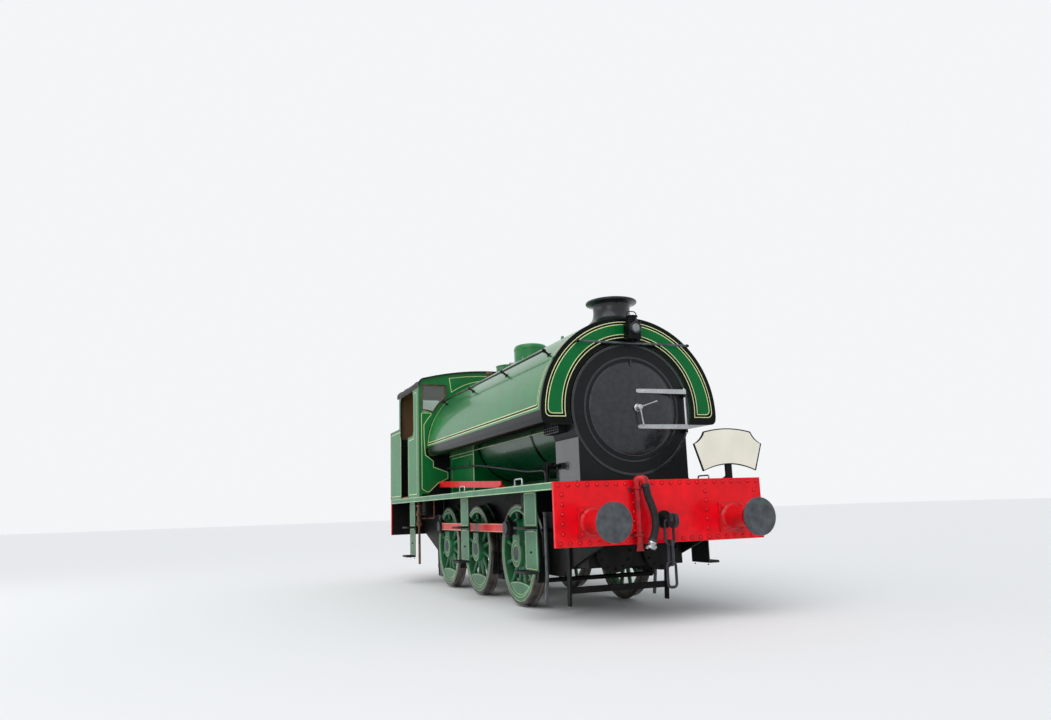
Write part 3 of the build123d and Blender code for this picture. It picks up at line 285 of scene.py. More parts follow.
def skin(bm, rings, closed=False):
    """Join rings of points into a surface, with its ends capped. An end ring may be a single point."""
    made = [[bm.verts.new(p) for p in ring] for ring in rings]
    pairs = list(zip(made, made[1:]))
    if closed:
        pairs.append((made[-1], made[0]))
    for a, b in pairs:
        for i in range(max(len(a), len(b))):
            quad = [a[i % len(a)], a[(i + 1) % len(a)], b[(i + 1) % len(b)], b[i % len(b)]]
            face = list(dict.fromkeys(quad))
            if len(face) > 2:
                bm.faces.new(face)
    if not closed:
        for ring in (made[0][::-1], made[-1]):
            if len(ring) > 2:
                bm.faces.new(ring)


def prism(bm, outline, plane, low, high):
    """A flat outline in plane "xz", "yz" or "xy", solid from low to high across that plane."""
    def at(p, t):
        return {"xz": (p[0], t, p[1]), "yz": (t, p[0], p[1]), "xy": (p[0], p[1], t)}[plane]
    skin(bm, [[at(p, low) for p in outline], [at(p, high) for p in outline]])


def block(bm, x0, x1, y0, y1, z0, z1):
    prism(bm, [(x0, y0), (x1, y0), (x1, y1), (x0, y1)], "xy", z0, z1)


def lathe(bm, profile, origin, axis, steps=48, closed=False):
    """Turn (radius, height) points about axis. A radius of 0 closes an end in a point."""
    base = aim(origin, axis)
    rings = []
    for r, h in profile:
        around = [polar(r, 360 * i / steps) for i in range(steps)] if r else [(0, 0)]
        rings.append([base @ Vector((a, b, h)) for a, b in around])
    skin(bm, rings, closed=closed)


def rivet(bm, origin, axis, r=11, h=7):
    lathe(bm, [(r, -1), (r, 0), (r * 0.8, h * 0.6), (r * 0.4, h * 0.93), (0, h)], origin, axis, 10)


def nut(bm, origin, axis, r=16, h=12):
    lathe(bm, [(0, -1), (r, -1), (r, h * 0.85), (r * 0.85, h), (0, h)], origin, axis, 6)
    lathe(bm, [(0, h - 1), (r * 0.5, h - 1), (r * 0.5, h + r * 0.35), (r * 0.4, h + r * 0.45),
               (0, h + r * 0.45)], origin, axis, 10)


def sweep(bm, points, r, steps=12, closed=False, flat=1.0):
    """A round bar through points. r is one radius or one for each point."""
    points = [Vector(p) for p in points]
    n = len(points)
    radii = r if isinstance(r, (list, tuple)) else [r] * n
    ways = []
    for i in range(n):
        a = points[(i - 1) % n] if closed or i else points[0]
        b = points[(i + 1) % n] if closed or i < n - 1 else points[-1]
        ways.append((b - a).normalized())
    side = ways[0].orthogonal().normalized()
    rings = []
    for p, way, radius in zip(points, ways, radii):
        side = (side - way * side.dot(way)).normalized()
        up = way.cross(side)
        rings.append([p + a * side + flat * b * up
                      for a, b in (polar(radius, 360 * k / steps) for k in range(steps))])
    skin(bm, rings, closed=closed)


def bent(points, r, steps=6):
    """Round each corner of a run of points, from a distance r before it to r after it."""
    points = [Vector(p) for p in points]
    out = [points[0]]
    for a, b, c in zip(points, points[1:], points[2:]):
        first, second = (b - a), (c - b)
        cut = min(r, first.length * 0.49, second.length * 0.49)
        start, end = b - first.normalized() * cut, b + second.normalized() * cut
        for k in range(steps + 1):
            t = k / steps
            out.append((1 - t) ** 2 * start + 2 * t * (1 - t) * b + t * t * end)
    out.append(points[-1])
    return out


def rounded(outline, radii, steps=6):
    """Round the corners of a closed flat outline, one radius for all or one for each corner."""
    n = len(outline)
    radii = radii if isinstance(radii, (list, tuple)) else [radii] * n
    out = []
    for i, (b, r) in enumerate(zip(outline, radii)):
        a, b, c = Vector(outline[i - 1]), Vector(b), Vector(outline[(i + 1) % n])
        if not r:
            out.append(tuple(b))
            continue
        u, w = (a - b).normalized(), (c - b).normalized()
        half = acos(max(-1, min(1, u.dot(w)))) / 2
        cut = min(r / tan(half), (a - b).length * 0.5, (c - b).length * 0.5)
        rr = cut * tan(half)
        centre = b + (u + w).normalized() * (rr / sin(half))
        start, end = b + u * cut - centre, b + w * cut - centre
        a0, a1 = atan2(start.y, start.x), atan2(end.y, end.x)
        turn = (a1 - a0 + pi) % (2 * pi) - pi
        out += [tuple(centre + rr * Vector((cos(a0 + turn * k / steps), sin(a0 + turn * k / steps))))
                for k in range(steps + 1)]
    return out


def box_outline(x0, x1, z0, z1):
    return [(x0, z0), (x1, z0), (x1, z1), (x0, z1)]


def round_box(x0, x1, z0, z1, r):
    return rounded(box_outline(x0, x1, z0, z1), r)


def arc(cx, cy, r, a0, a1, steps=24):
    spots = [polar(r, a0 + (a1 - a0) * k / steps) for k in range(steps + 1)]
    return [(cx + a, cy + b) for a, b in spots]


def mirrored(path):
    return [(-y, z) for y, z in path]


def shifted(path, rise):
    """The path moved by rise to its right-hand side, which is outwards when it runs anticlockwise."""
    out = []
    for i, (a, b) in enumerate(path):
        before, after = Vector(path[max(0, i - 1)]), Vector(path[min(len(path) - 1, i + 1)])
        way = (after - before).normalized()
        out.append((a + way.y * rise, b - way.x * rise))
    return out


def laid_strip(bm, path, x0, x1, low, high):
    """A strip from x0 to x1 that lies on a (y, z) path, from low to high above it."""
    prism(bm, shifted(path, high) + shifted(path, low)[::-1], "yz", x0, x1)


def distances(points):
    """How far along a run of points each of them is."""
    out = [0.0]
    for a, b in zip(points, points[1:]):
        out.append(out[-1] + (b - a).length)
    return out


def evenly(points, count):
    """The same run of points in a given number of equal steps."""
    along = distances(points)
    out, j = [], 0
    for i in range(count + 1):
        target = along[-1] * i / count
        while j < len(along) - 2 and along[j + 1] < target:
            j += 1
        t = (target - along[j]) / max(1e-9, along[j + 1] - along[j])
        out.append(points[j].lerp(points[j + 1], t))
    return out


def resample(outline, count):
    """The same closed outline as a given number of points, evenly spaced from its first point on."""
    points = [Vector(p) for p in outline]
    return evenly(points + points[:1], count)[:-1]


def band(bm, outer, inner, where, rise=0.4, count=260):
    """Fill the strip between two closed outlines that where() lays on a surface."""
    rings = []
    for a, b in zip(resample(outer, count), resample(inner, count)):
        (pa, na), (pb, nb) = where(*a), where(*b)
        pa, na, pb, nb = Vector(pa), Vector(na), Vector(pb), Vector(nb)
        rings.append([pa - 0.4 * na, pa + rise * na, pb + rise * nb, pb - 0.4 * nb])
    skin(bm, rings, closed=True)


def stripe(bm, outline, where, width, closed=True, rise=0.7, step=120):
    """A painted line of a given width along a flat outline that where() lays on a surface."""
    points = [Vector(p) for p in outline]
    path = []
    for a, b in zip(points, points[1:] + points[:1] if closed else points[1:]):
        count = max(1, int((b - a).length / step))
        path += [a + (b - a) * k / count for k in range(count)]
    if not closed:
        path.append(points[-1])
    path = [p for i, p in enumerate(path) if i == 0 or (p - path[i - 1]).length > 0.01]
    if closed and (path[0] - path[-1]).length < 0.01:
        path.pop()
    n = len(path)
    rings = []
    for i, p in enumerate(path):
        before = path[i - 1] if closed or i else None
        after = path[(i + 1) % n] if closed or i < n - 1 else None
        first = (p - before).normalized() if before is not None else (after - p).normalized()
        second = (after - p).normalized() if after is not None else first
        normal = Vector((-(first + second).y, (first + second).x))
        if normal.length < 1e-6:
            normal = Vector((-first.y, first.x))
        normal.normalize()
        spread = width / 2 / max(0.35, normal.dot(Vector((-first.y, first.x))))
        ring = []
        for side, lift in ((-1, -0.4), (-1, rise), (1, rise), (1, -0.4)):
            spot, out = where(*(p + normal * side * spread))
            ring.append(Vector(spot) + lift * Vector(out))
        rings.append(ring)
    skin(bm, rings, closed=closed)


# Places for outlines: each lays a flat point on a surface and gives that surface's direction
def on_side(y=PLATE_HALF, way=1, x=0, z=0):
    return lambda a, b: ((x + a, way * y, z + b), (0, way, 0))


def on_front(x, way=1):
    return lambda a, b: ((x, a, b), (way, 0, 0))


def on_top(z):
    return lambda a, b: ((a, b, z), (0, 0, 1))


def on_tank(a, b):
    """a is along the tank, b is the distance round it, up from its right-hand side."""
    out = Vector((0, -cos(b / TANK_R), sin(b / TANK_R)))
    return Vector((a, 0, TANK_Z)) + TANK_R * out, out


def tank_height(y):
    return TANK_Z + sqrt(TANK_R ** 2 - y ** 2)


def roof_height(y):
    return ROOF - ROOF_R + sqrt(ROOF_R ** 2 - y ** 2)


def piece(name, bm, material, body="chassis", bevel=0.0, replaces=None, smooth=38):
    bm.normal_update()
    bmesh.ops.recalc_face_normals(bm, faces=bm.faces)
    mesh = bpy.data.meshes.new(name)
    bm.to_mesh(mesh)
    bm.free()
    mesh.transform(Matrix.Scale(MM, 4))
    mesh.materials.append(material)
    mesh.shade_smooth()
    mesh.set_sharp_from_angle(angle=radians(smooth))
    obj = bpy.data.objects.new(name, mesh)
    bpy.context.scene.collection.objects.link(obj)
    if bevel:
        cut = obj.modifiers.new("edges", "BEVEL")
        cut.width = bevel * MM
        cut.segments = 2
        cut.limit_method = "ANGLE"
        cut.angle_limit = radians(40)
    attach(obj, body)
    if replaces:
        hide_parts(replaces)
    return obj


# Camera at the photo's viewing angle
CAMERA = (11.9087, -4.6047, 1.2089 + RAIL * MM)
YAW, PITCH, ROLL, FOCAL_PX, PHOTO_W = 2.7691, 0.1829, -0.0342, 808.27, 1051
SENSOR = 36
fwd = Vector((cos(YAW) * cos(PITCH), sin(YAW) * cos(PITCH), sin(PITCH)))
level = Vector((sin(YAW), -cos(YAW), 0))
upright = level.cross(fwd)
right = cos(ROLL) * level + sin(ROLL) * upright
up = -sin(ROLL) * level + cos(ROLL) * upright
camera_data = bpy.data.cameras.new("camera")
camera_data.sensor_width = SENSOR
camera_data.lens = FOCAL_PX / PHOTO_W * SENSOR
camera_data.clip_end = 400
camera = bpy.data.objects.new("camera", camera_data)
camera.matrix_world = Matrix.Translation(CAMERA) @ Matrix((right, up, -fwd)).transposed().to_4x4()
bpy.context.scene.collection.objects.link(camera)
bpy.context.scene.camera = camera
bpy.context.scene.view_settings.view_transform = "Standard"

# Vacuum hoses. The route's points are part.py's: forward of the standpipe, sideways, height above the rail
HOSE_R = 42
HOSE_STEP = 4.5 * MM
PIPE_X = BEAM_FACE + 62
PIPE_Y = -345
HOSE = [(PIPE_X + x, y, RAIL + z) for x, y, z in ((52, -268, 1440), (54, -256, 1325), (56, -205, 1205),
                                                  (56, -170, 1070), (52, -178, 940), (46, -222, 826))]


def nurbs_points(route, name):
    curve = bpy.data.curves.new(name + "_line", "CURVE")
    curve.dimensions = "3D"
    curve.resolution_u = 14
    spline = curve.splines.new("NURBS")
    spline.points.add(len(route) - 1)
    for p, q in zip(spline.points, route):
        p.co = (*[c * MM for c in q], 1)
    spline.use_endpoint_u = True
    spline.order_u = 3
    holder = bpy.data.objects.new(name + "_line", curve)
    mesh = bpy.data.meshes.new_from_object(holder)
    points = [v.co.copy() for v in mesh.vertices]
    bpy.data.objects.remove(holder)
    return points


for end, way in (("front", 1), ("rear", -1)):
    route = [(way * x, way * y, z) for x, y, z in HOSE]
    curve = nurbs_points(route, end + "_hose")
    hose_length = distances(curve)[-1]
    line = evenly(curve, round(hose_length / HOSE_STEP))
    # The wall is corrugated, with a rib every four steps and plain ends
    radii = [HOSE_R - 3.6 * (i % 4 in (2, 3)) for i in range(len(line))]
    radii = [HOSE_R if i < 8 or i > len(line) - 9 else r for i, r in enumerate(radii)]
    bm = bmesh.new()
    sweep(bm, [p / MM for p in line], radii, steps=28)
    hose = piece(end + "_hose", bm, rubber, replaces=end + "_vacuum_hose", smooth=60)

# Stage: a pale floor, a pale world and soft lamps
world = bpy.data.worlds.new("world")
bpy.context.scene.world = world
world.use_nodes = True
tree = world.node_tree
back = tree.nodes["Background"]
feed(back, {"Color": (0.84, 0.87, 0.90, 1), "Strength": 0.62})
pale = add(tree, "Background", {"Color": (0.90, 0.915, 0.93, 1)})
rays = add(tree, "LightPath", {}).outputs
other = add(tree, "Math", {0: rays["Is Glossy Ray"], 1: rays["Is Transmission Ray"]}, operation="MAXIMUM")
seen = add(tree, "Math", {0: rays["Is Camera Ray"], 1: other.outputs[0]}, operation="MAXIMUM")
mix = add(tree, "MixShader", {0: seen.outputs[0], 1: back.outputs[0], 2: pale.outputs[0]})
feed(tree.nodes["World Output"], {"Surface": mix.outputs[0]})

FLOOR_HALF = 150
floor_mesh = bpy.data.meshes.new("floor")
ground = box_outline(-FLOOR_HALF, FLOOR_HALF, -FLOOR_HALF, FLOOR_HALF)
floor_mesh.from_pydata([(x, y, 0) for x, y in ground], [], [(0, 1, 2, 3)])
floor = bpy.data.objects.new("floor", floor_mesh)
bpy.context.scene.collection.objects.link(floor)
floor_mat, _, shader = new_material("floor")
feed(shader, {"Base Color": (0.89, 0.895, 0.90, 1), "Roughness": 0.9})
floor_mesh.materials.append(floor_mat)


def lamp(name, place, target, size, watts):
    data = bpy.data.lights.new(name, "AREA")
    data.shape = "RECTANGLE"
    data.size, data.size_y = size
    data.energy = watts
    obj = bpy.data.objects.new(name, data)
    obj.matrix_world = aim(place, Vector(place) - Vector(target))
    obj.visible_camera = False
    bpy.context.scene.collection.objects.link(obj)


sun_data = bpy.data.lights.new("sky_light", "SUN")
sun_data.energy = 1.35
sun_data.angle = radians(60)
sun = bpy.data.objects.new("sky_light", sun_data)
sun.matrix_world = aim((0, 0, 12), (0.42, -0.55, 1))
bpy.context.scene.collection.objects.link(sun)
lamp("front_right", (14.0, -9.0, 6.0), (2.0, 0, 1.8), (7, 5), 185)
lamp("right_side", (-2.0, -13.0, 5.0), (-0.5, 0, 1.8), (11, 3), 160)


# Wheels: tyres, spoked centres with balance weights, and their lining
def teardrop(r0, r1, reach, a):
    """The outline round a hub circle and a boss circle at reach, in direction a."""
    lean = degrees(acos((r0 - r1) / reach))
    cx, cy = polar(reach, a)
    return arc(cx, cy, r1, a - lean, a + lean, 14) + arc(0, 0, r0, a + lean, a + 360 - lean, 30)


# Turned profiles of (radius, distance from the centre line). WEIGHT_HALF is half the weight's angle
TYRE = [(586, 681), (668, 680), (674, 684), (676, 691), (674, 700), (660, 708), (650, 714), (647.5, 760),
        (646.5, 808), (643, 815), (636, 818), (614, 818), (612, 814), (586, 812)]
WHEEL_RIM = [(RIM_IN + 6, 690), (587, 688), (612.5, 690), (612.5, 814), (610, 817), (548, 817),
             (RIM_IN, 808), (RIM_IN, 698)]
WHEEL_HUB = [(85.5, 688), (158, 688), (172, 700), (176, 730), (177, 815), (172, 838), (162, 847), (126, 849),
             (120, 843), (100, 843), (96, 848), (85.5, 848)]
WEIGHT_HALF = 44
ROUND = [polar(1, 30 * k) for k in range(12)]
for name, x in AXLES:
    centres, tyres, lines = shells(3)
    for _, way, axis, turn in SIDES:
        hub = (x, 0, AXLE_Z)
        lathe(tyres, TYRE, hub, axis, 96, closed=True)
        lathe(centres, WHEEL_RIM, hub, axis, 96, closed=True)
        lathe(centres, WHEEL_HUB, hub, axis, 64, closed=True)
        for i in range(12):
            c, s = polar(1, turn + 30 * (i + 0.5))
            spoke = []
            # Columns: distance from the hub, half the spoke's breadth, half its thickness
            for r, wide, thick in ((150, 38, 40), (200, 35, 37), (260, 29, 33), (380, 25, 29), (480, 25, 28),
                                   (520, 31, 31), (543, 42, 36)):
                spoke.append([(x + r * c - wide * u * s, way * (WHEEL_MID + thick * v),
                               AXLE_Z + r * s + wide * u * c) for u, v in ROUND])
            skin(centres, spoke)
        # The crank's boss and its rim, and the balance weight opposite
        c, s = polar(1, turn)
        bow = [(-(0.72 - 0.05 * sin(pi * k / 16)), (k / 8 - 1) * 0.66) for k in range(17)]
        bow = [((a * c - b * s) * RIM_IN, (a * s + b * c) * RIM_IN) for a, b in bow]
        rim_side = arc(0, 0, RIM_IN + 6, turn + 180 - WEIGHT_HALF, turn + 180 + WEIGHT_HALF, 24)
        for outline, low, high in ((teardrop(150, 112, THROW, turn), 752, 838),
                                   (arc(*polar(THROW, turn), 100, 0, 345, 23), 836, 849),
                                   (rim_side + bow, 722, 806)):
            prism(centres, [(x + a, AXLE_Z + b) for a, b in outline], "xz", way * low, way * high)
        inset_rim = arc(0, 0, RIM_IN - 16, turn + 185 - WEIGHT_HALF, turn + 175 + WEIGHT_HALF, 24)
        inset_bow = [(a * 1.035, b * 1.035) for a, b in bow[2:-2]]
        stripe(lines, inset_rim + inset_bow, on_side(806, way, x, AXLE_Z), 7)
        for r, face in ((604, 817), (554, 817), (168, 844.5), (108, 843)):
            stripe(lines, arc(0, 0, r, 0, 356, 89), on_side(face, way, x, AXLE_Z), 7, rise=1.2)
    piece(name + "_wheel_centres", centres, green_low, name + "_wheelset",
          replaces=name + "_wheels")
    piece(name + "_tyres", tyres, worn_steel, name + "_wheelset")
    piece(name + "_wheel_lining", lines, lining_low, name + "_wheelset")

# Coupling rods with pale lines round each bar, painted highlights in place of lit flute edges, and dark
# bosses with oil cups
ROD_BOSS = [(62.6, 905.5), (112, 905.5), (120, 912), (120, 957), (113, 964.5), (62.6, 964.5)]
OIL_CUP = [(26, 112), (26, 138), (22, 142), (13, 143), (13, 150), (16, 152), (16, 164), (0, 166)]
for side, way, axis, turn in SIDES:
    dx, dz = polar(THROW, turn)
    z = AXLE_Z + dz
    bars, bosses, lines = shells(3)
    for (_, xa), (_, xb) in zip(AXLES[1:], AXLES):
        a, b = xa + dx + 96, xb + dx - 96
        edge = [(a, 66), (a + 90, 58), (b - 90, 58), (b, 66)]
        outline = [(u, z - v) for u, v in edge] + [(u, z + v) for u, v in edge[::-1]]
        prism(bars, outline, "xz", way * 912, way * 958)
        # Pale lines round the flat bar: a painted highlight standing for lit flute edges
        stripe(lines, round_box(a + 30, b - 30, z - 49, z + 49, 12), on_side(958, way), 6)
    for _, xa in AXLES:
        lathe(bosses, ROD_BOSS, (xa + dx, 0, z), axis, closed=True)
        lathe(bosses, OIL_CUP, (xa + dx, way * 935, z), "z", 20)
        rivet(bosses, (xa + dx - 84, way * 964.5, z), axis, 12, 6)
    body = side + "_rod"
    piece(f"coupling_rod_bars_{side}", bars, red_low, body, bevel=4,
          replaces="coupling_rod_" + side)
    piece(f"coupling_rod_bosses_{side}", bosses, black_low, body)
    piece(f"coupling_rod_edge_highlights_{side}", lines, lining_low, body)


# Tank front: black border, a pair of lines with black between, and the green arch
def arch(outer, inner, lift, corner):
    """The tank's end outline: outer radius, inner radius, bottom lifted by lift, lower corners rounded."""
    low = TANK_LOW + lift
    y_in = sqrt(inner ** 2 - (low - BOILER_Z) ** 2)
    a0 = degrees(asin((low - TANK_Z) / outer))
    a1 = degrees(atan2(low - BOILER_Z, y_in))
    top = arc(0, TANK_Z, outer, a0, 180 - a0, 60)
    under = arc(0, BOILER_Z, inner, 180 - a1, a1, 60)
    flat = top + under
    radii = [corner] + [0] * (len(top) - 2) + [corner] + [0] * len(under)
    # A corner's arc needs longer neighbours than the arch's own steps
    keep = [i for i, (_, z) in enumerate(flat) if i in (0, len(top) - 1) or i >= len(top)
            or z > low + corner * 1.15]
    return rounded([flat[i] for i in keep], [radii[i] for i in keep], 8)


border, field, lines = shells(3)
front = on_front(SMOKE_FRONT)
outer_line, inner_line = arch(1104, 862, 92, 82), arch(1072, 898, 126, 52)
band(border, arch(TANK_R - 1, 801, 1, 103), outer_line, front, 0.5)
band(border, arch(1103, 863, 93, 81), arch(1073, 897, 125, 53), front, 0.45)
prism(field, inner_line, "yz", SMOKE_FRONT - 0.4, SMOKE_FRONT + 0.4)
stripe(lines, outer_line, front, 9, rise=1.0)
stripe(lines, inner_line, front, 9, rise=1.0)
piece("tank_front_border", border, black)
piece("tank_front_field", field, arch_green)
piece("tank_front_lining", lines, lining)

# Tank side panel: one closed pair of lines over the tank, and a pale bar along its lower inner edges, a
# painted highlight
lines, gaps, lit_edge_bar = shells(3)
for inset, width, bm, rise in ((0, 9, lines, 1.0), (34, 9, lines, 1.0), (17, 26, gaps, 0.5)):
    outline = round_box(CAB_FRONT + 62 + inset, SMOKE_FRONT - 84 - inset, 66 + inset,
                        pi * TANK_R - 66 - inset, 26)
    stripe(bm, outline, on_tank, width, rise=rise, step=60)
# A pale bar along each lower inner edge: a painted highlight of the lit edge
sweep(lit_edge_bar, [(-1640, 779, TANK_LOW - 3), (2845, 779, TANK_LOW - 3)], 6, 8)
again(lit_edge_bar)
piece("tank_side_lining", lines, lining)
piece("tank_side_line_gap", gaps, black)
piece("tank_lower_lit_edge_bar", lit_edge_bar, lining_low)

# Buffer beams: rows and columns of rivets, each on a dark ring of painted shade, a washer plate behind each
# hook, and black backs
rivets, washers, shade_rings, backs = shells(4)
spots = [(-1236 + 112.4 * i, z) for i in range(23) for z in (PLATE_TOP - 40, BEAM_LOW + 38)]
spots += [(y, BEAM_LOW + 38 + 100 * k) for y in (-1200, -360, 550, 1200) for k in range(1, 6)]
for y, z in spots:
    near_buffer = max(abs(abs(y) - BUFFER_Y), abs(z - BUFFER_Z)) < 190
    if not near_buffer and hypot(y, z - BUFFER_Z) > 120:
        rivet(rivets, (BEAM_FACE, y, z), "x", 19, 14)
        # A dark red ring under each rivet: painted shade round its foot
        lathe(shade_rings, [(0, -0.5), (26, -0.5), (26, 0.4), (0, 0.6)], (BEAM_FACE, y, z), "x", 12)
lathe(washers, [(24, 0), (92, 0), (96, 3), (96, 13), (92, 17), (24, 17)], (BEAM_FACE, 0, BUFFER_Z), "x", 40,
      closed=True)
for turn in (45, 135, 225, 315):
    dy, dz = polar(72, turn)
    nut(washers, (BEAM_FACE + 16, dy, BUFFER_Z + dz), "x", 12, 9)
block(backs, BEAM_FACE - 41.2, BEAM_FACE - 39.8, -1276, 1276, BEAM_LOW + 1, PLATE_LOW - 1)
again(rivets, washers, shade_rings, backs, x=-1)
piece("beam_backs", backs, black_low)
piece("beam_rivets", rivets, red)
piece("beam_rivet_shade_rings", shade_rings, red_shade_rings)
piece("hook_washers", washers, black_low)

# Buffers: bolted square bases, tapered stocks and slightly domed heads
stocks, heads, bolts = shells(3)
at = (BEAM_FACE, BUFFER_Y, BUFFER_Z)
base = round_box(BUFFER_Y - 165, BUFFER_Y + 165, BUFFER_Z - 165, BUFFER_Z + 165, 16)
prism(stocks, base, "yz", BEAM_FACE, BEAM_FACE + 26)
lathe(stocks, [(60, 24), (148, 24), (136, 34), (124, 48), (119, 66), (114, 150), (104, 250), (98, 304),
               (102, 308), (107, 310), (107, 328), (104, 331), (68, 331), (66, 326), (60, 326)], at, "x",
      closed=True)
for y in (BUFFER_Y - 125, BUFFER_Y + 125):
    for z in (BUFFER_Z - 125, BUFFER_Z + 125):
        nut(bolts, (BEAM_FACE + 26, y, z), "x", 21, 15)
lathe(heads, [(0, 330), (66, 330), (66, 456), (74, 476), (98, 494), (150, 500), (194, 499), (200, 503),
              (203, 509), (203, 519), (200, 525), (190, 527), (120, 529), (0, 530)], at, "x", 64)
again(stocks, heads, bolts)
again(stocks, heads, bolts, x=-1)
piece("buffer_stocks_dressed", stocks, stock_red, bevel=3, replaces="buffer_stocks")
piece("buffer_bolts", bolts, red)
piece("buffer_heads_dressed", heads, greasy, replaces="buffer_heads")

# Vacuum standpipes: pipe, cast elbow, clips, and the bright coupling that the hose hangs on
pipes, clips, bright = shells(3)
mouth = Vector(HOSE[0])
drop = (Vector(HOSE[1]) - mouth).normalized()
top = RAIL + 1488
over = mouth - drop * (top - mouth.z)
sweep(pipes, [(PIPE_X, PIPE_Y, z) for z in (RAIL + 740, RAIL + 1300, top - 50)], 34, 24)
lead = bent([(PIPE_X, PIPE_Y, top - 60), (PIPE_X, PIPE_Y, top + 6), over + Vector((0, 0, 6)),
             mouth + drop * 4], 44, 8)
sweep(pipes, lead, [36 + 6 * i / (len(lead) - 1) for i in range(len(lead))], 24)
for z, r, h in ((738, 41, 26), (1262, 44, 30), (1400, 42, 22)):
    lathe(pipes, [(30, 0), (r, 0), (r, h), (30, h)], (PIPE_X, PIPE_Y, RAIL + z), "z", 8, closed=True)
lathe(clips, [(44, -14), (49, -12), (49, 12), (44, 14)], mouth + drop * 22, drop, 24, closed=True)
for z in (RAIL + 900, RAIL + 1390):
    block(pipes, BEAM_FACE, BEAM_FACE + 14, -430, -262, z - 26, z + 26)
    for y in (-412, -280):
        nut(clips, (BEAM_FACE + 14, y, z), "x", 13, 10)
last = Vector(HOSE[-1])
out = (last - Vector(HOSE[-2])).normalized()
lathe(clips, [(43, -34), (48, -32), (48, -12), (43, -10)], last, out, 24, closed=True)
lathe(bright, [(0, -4), (45, -4), (47, 0), (47, 16), (40, 22), (38, 44), (52, 50), (54, 54), (54, 66),
               (50, 72), (30, 72), (0, 66)], last, out, 32)
x, y, z = last + out * 58
for lug in (y - 50, y + 50):
    block(bright, x - 16, x + 16, lug - 12, lug + 12, z - 12, z + 12)
block(clips, BEAM_FACE, PIPE_X + 58, -268, -222, RAIL + 756, RAIL + 776)
again(pipes, clips, bright, x=-1)
# The straps round the pipes
strap = arc(PIPE_X, PIPE_Y, 41, -90, 90, 12)
strap = [(BEAM_FACE + 12, PIPE_Y - 41)] + strap + [(BEAM_FACE + 12, PIPE_Y + 41)]
for z in (RAIL + 900, RAIL + 1390):
    for way in (1, -1):
        sweep(pipes, [(way * x, way * y, z) for x, y in strap], 9, 8, flat=2.2)
piece("vacuum_pipes", pipes, pipe_red, bevel=2, replaces="vacuum_standpipes")
piece("vacuum_clips", clips, iron)
piece("vacuum_couplings", bright, steel)

# Smokebox: edge rings, rows of studs along its front and foot, and its side sheets, whose lighter black is a
# painted sheen
ring, studs, sheets = shells(3)
at = (SMOKE_FRONT, 0, BOILER_Z)
# The rings are a lighter black than the smokebox front: a painted highlight on their edges
lathe(ring, [(750, -1), (784, -1), (784, 5), (781, 8), (753, 8), (750, 5)], at, "x", 128, closed=True)
lathe(ring, [(602, -1), (628, -1), (626, 6), (610, 9), (602, 9)], at, "x", 96, closed=True)
for k in range(6):
    rivet(studs, (SMOKE_FRONT, 683, PLATE_TOP + 70 + 100 * k), "x", 7, 3)
for k in range(7):
    nut(studs, (2900 + 96 * k, 734, PLATE_TOP + 14), "z", 14, 11)
block(sheets, 2850, SMOKE_FRONT, 709.6, 711, PLATE_TOP + 14, BOILER_Z - 330)
again(studs, sheets)
for i in range(48):
    dy, dz = polar(690, i * 7.5)
    if not 222 < i * 7.5 < 318:
        rivet(studs, (SMOKE_FRONT, dy, BOILER_Z + dz), "x", 7, 3)
for k in range(10):
    nut(studs, (SMOKE_FRONT + 22, -660 + 146 * k, PLATE_TOP + 14), "z", 14, 11)
piece("saddle_sheen_sheets", sheets, sheen_sheet_black)
piece("smokebox_rings", ring, rim_highlight_black)
piece("smokebox_studs", studs, smoke_black)

# Smokebox door: dish with the lamp iron's lug at its top, rim, straps, hinge pin and handles
door, rim, straps, dart, pin = shells(5)
at = (SMOKE_FRONT + 0.3, 0, BOILER_Z)
# The dish is a lighter black than its rim: a painted sheen
dish_radii = (80, 160, 240, 310, 370, 420, 460, 490, 515, 535, 548)
dish = [(r, 14 + 64 * (1 - (r / 556) ** 3.2)) for r in dish_radii]
lathe(door, [(0, 2), (562, 2), (562, 17), (557, 20), (553, 19)] + dish[::-1] + [(0, 78)], at, "x", 128)
rim_profile = [(560, 1), (594, 1), (600, 4), (600, 11), (597, 14), (568, 15), (560, 12)]
lathe(rim, rim_profile, at, "x", 128, closed=True)
for turn in range(15, 375, 30):
    dy, dz = polar(581, turn)
    rivet(rim, (SMOKE_FRONT + 14, dy, BOILER_Z + dz), "x", 8, 4)
for half_low, half_high, low, high, x0, x1 in ((14, 14, 486, 548, 14, 34), (12, 8, 500, 590, 32, 40)):
    low, high = BOILER_Z + low, BOILER_Z + high
    prism(door, [(-half_low, low), (half_low, low), (half_high, high), (-half_high, high)], "yz",
          SMOKE_FRONT + x0, SMOKE_FRONT + x1)
piece("smokebox_door_rim", rim, smoke_black, "smokebox_door")
piece("smokebox_door_dished", door, door_sheen_black, "smokebox_door", replaces="smokebox_door")

STRAP_X = SMOKE_FRONT + 74.5
HINGE = (SMOKE_FRONT + 62, 690)
DART = Vector((STRAP_X, 35, BOILER_Z + 5))
for z in (RAIL + 2540, RAIL + 2118):
    outline = [(24, z - 20), (60, z - 24), (520, z - 28), (668, z - 28), (668, z + 28), (520, z + 28),
               (60, z + 24), (24, z + 20)]
    prism(straps, rounded(outline, [14, 0, 0, 4, 4, 0, 0, 14]), "yz", STRAP_X, STRAP_X + 12)
    block(straps, SMOKE_FRONT + 54, STRAP_X + 11.6, 646, 682, z - 28, z + 28)
    lathe(straps, [(15.6, -28), (24, -28), (26, -26), (26, 26), (24, 28), (15.6, 28)], (*HINGE, z), "z", 24,
          closed=True)
    block(straps, SMOKE_FRONT + 15, STRAP_X + 1, 530, 554, z - 12, z + 12)
    for y in (130, 330, 542):
        rivet(straps, (STRAP_X + 12, y, z), "x", 13, 8)
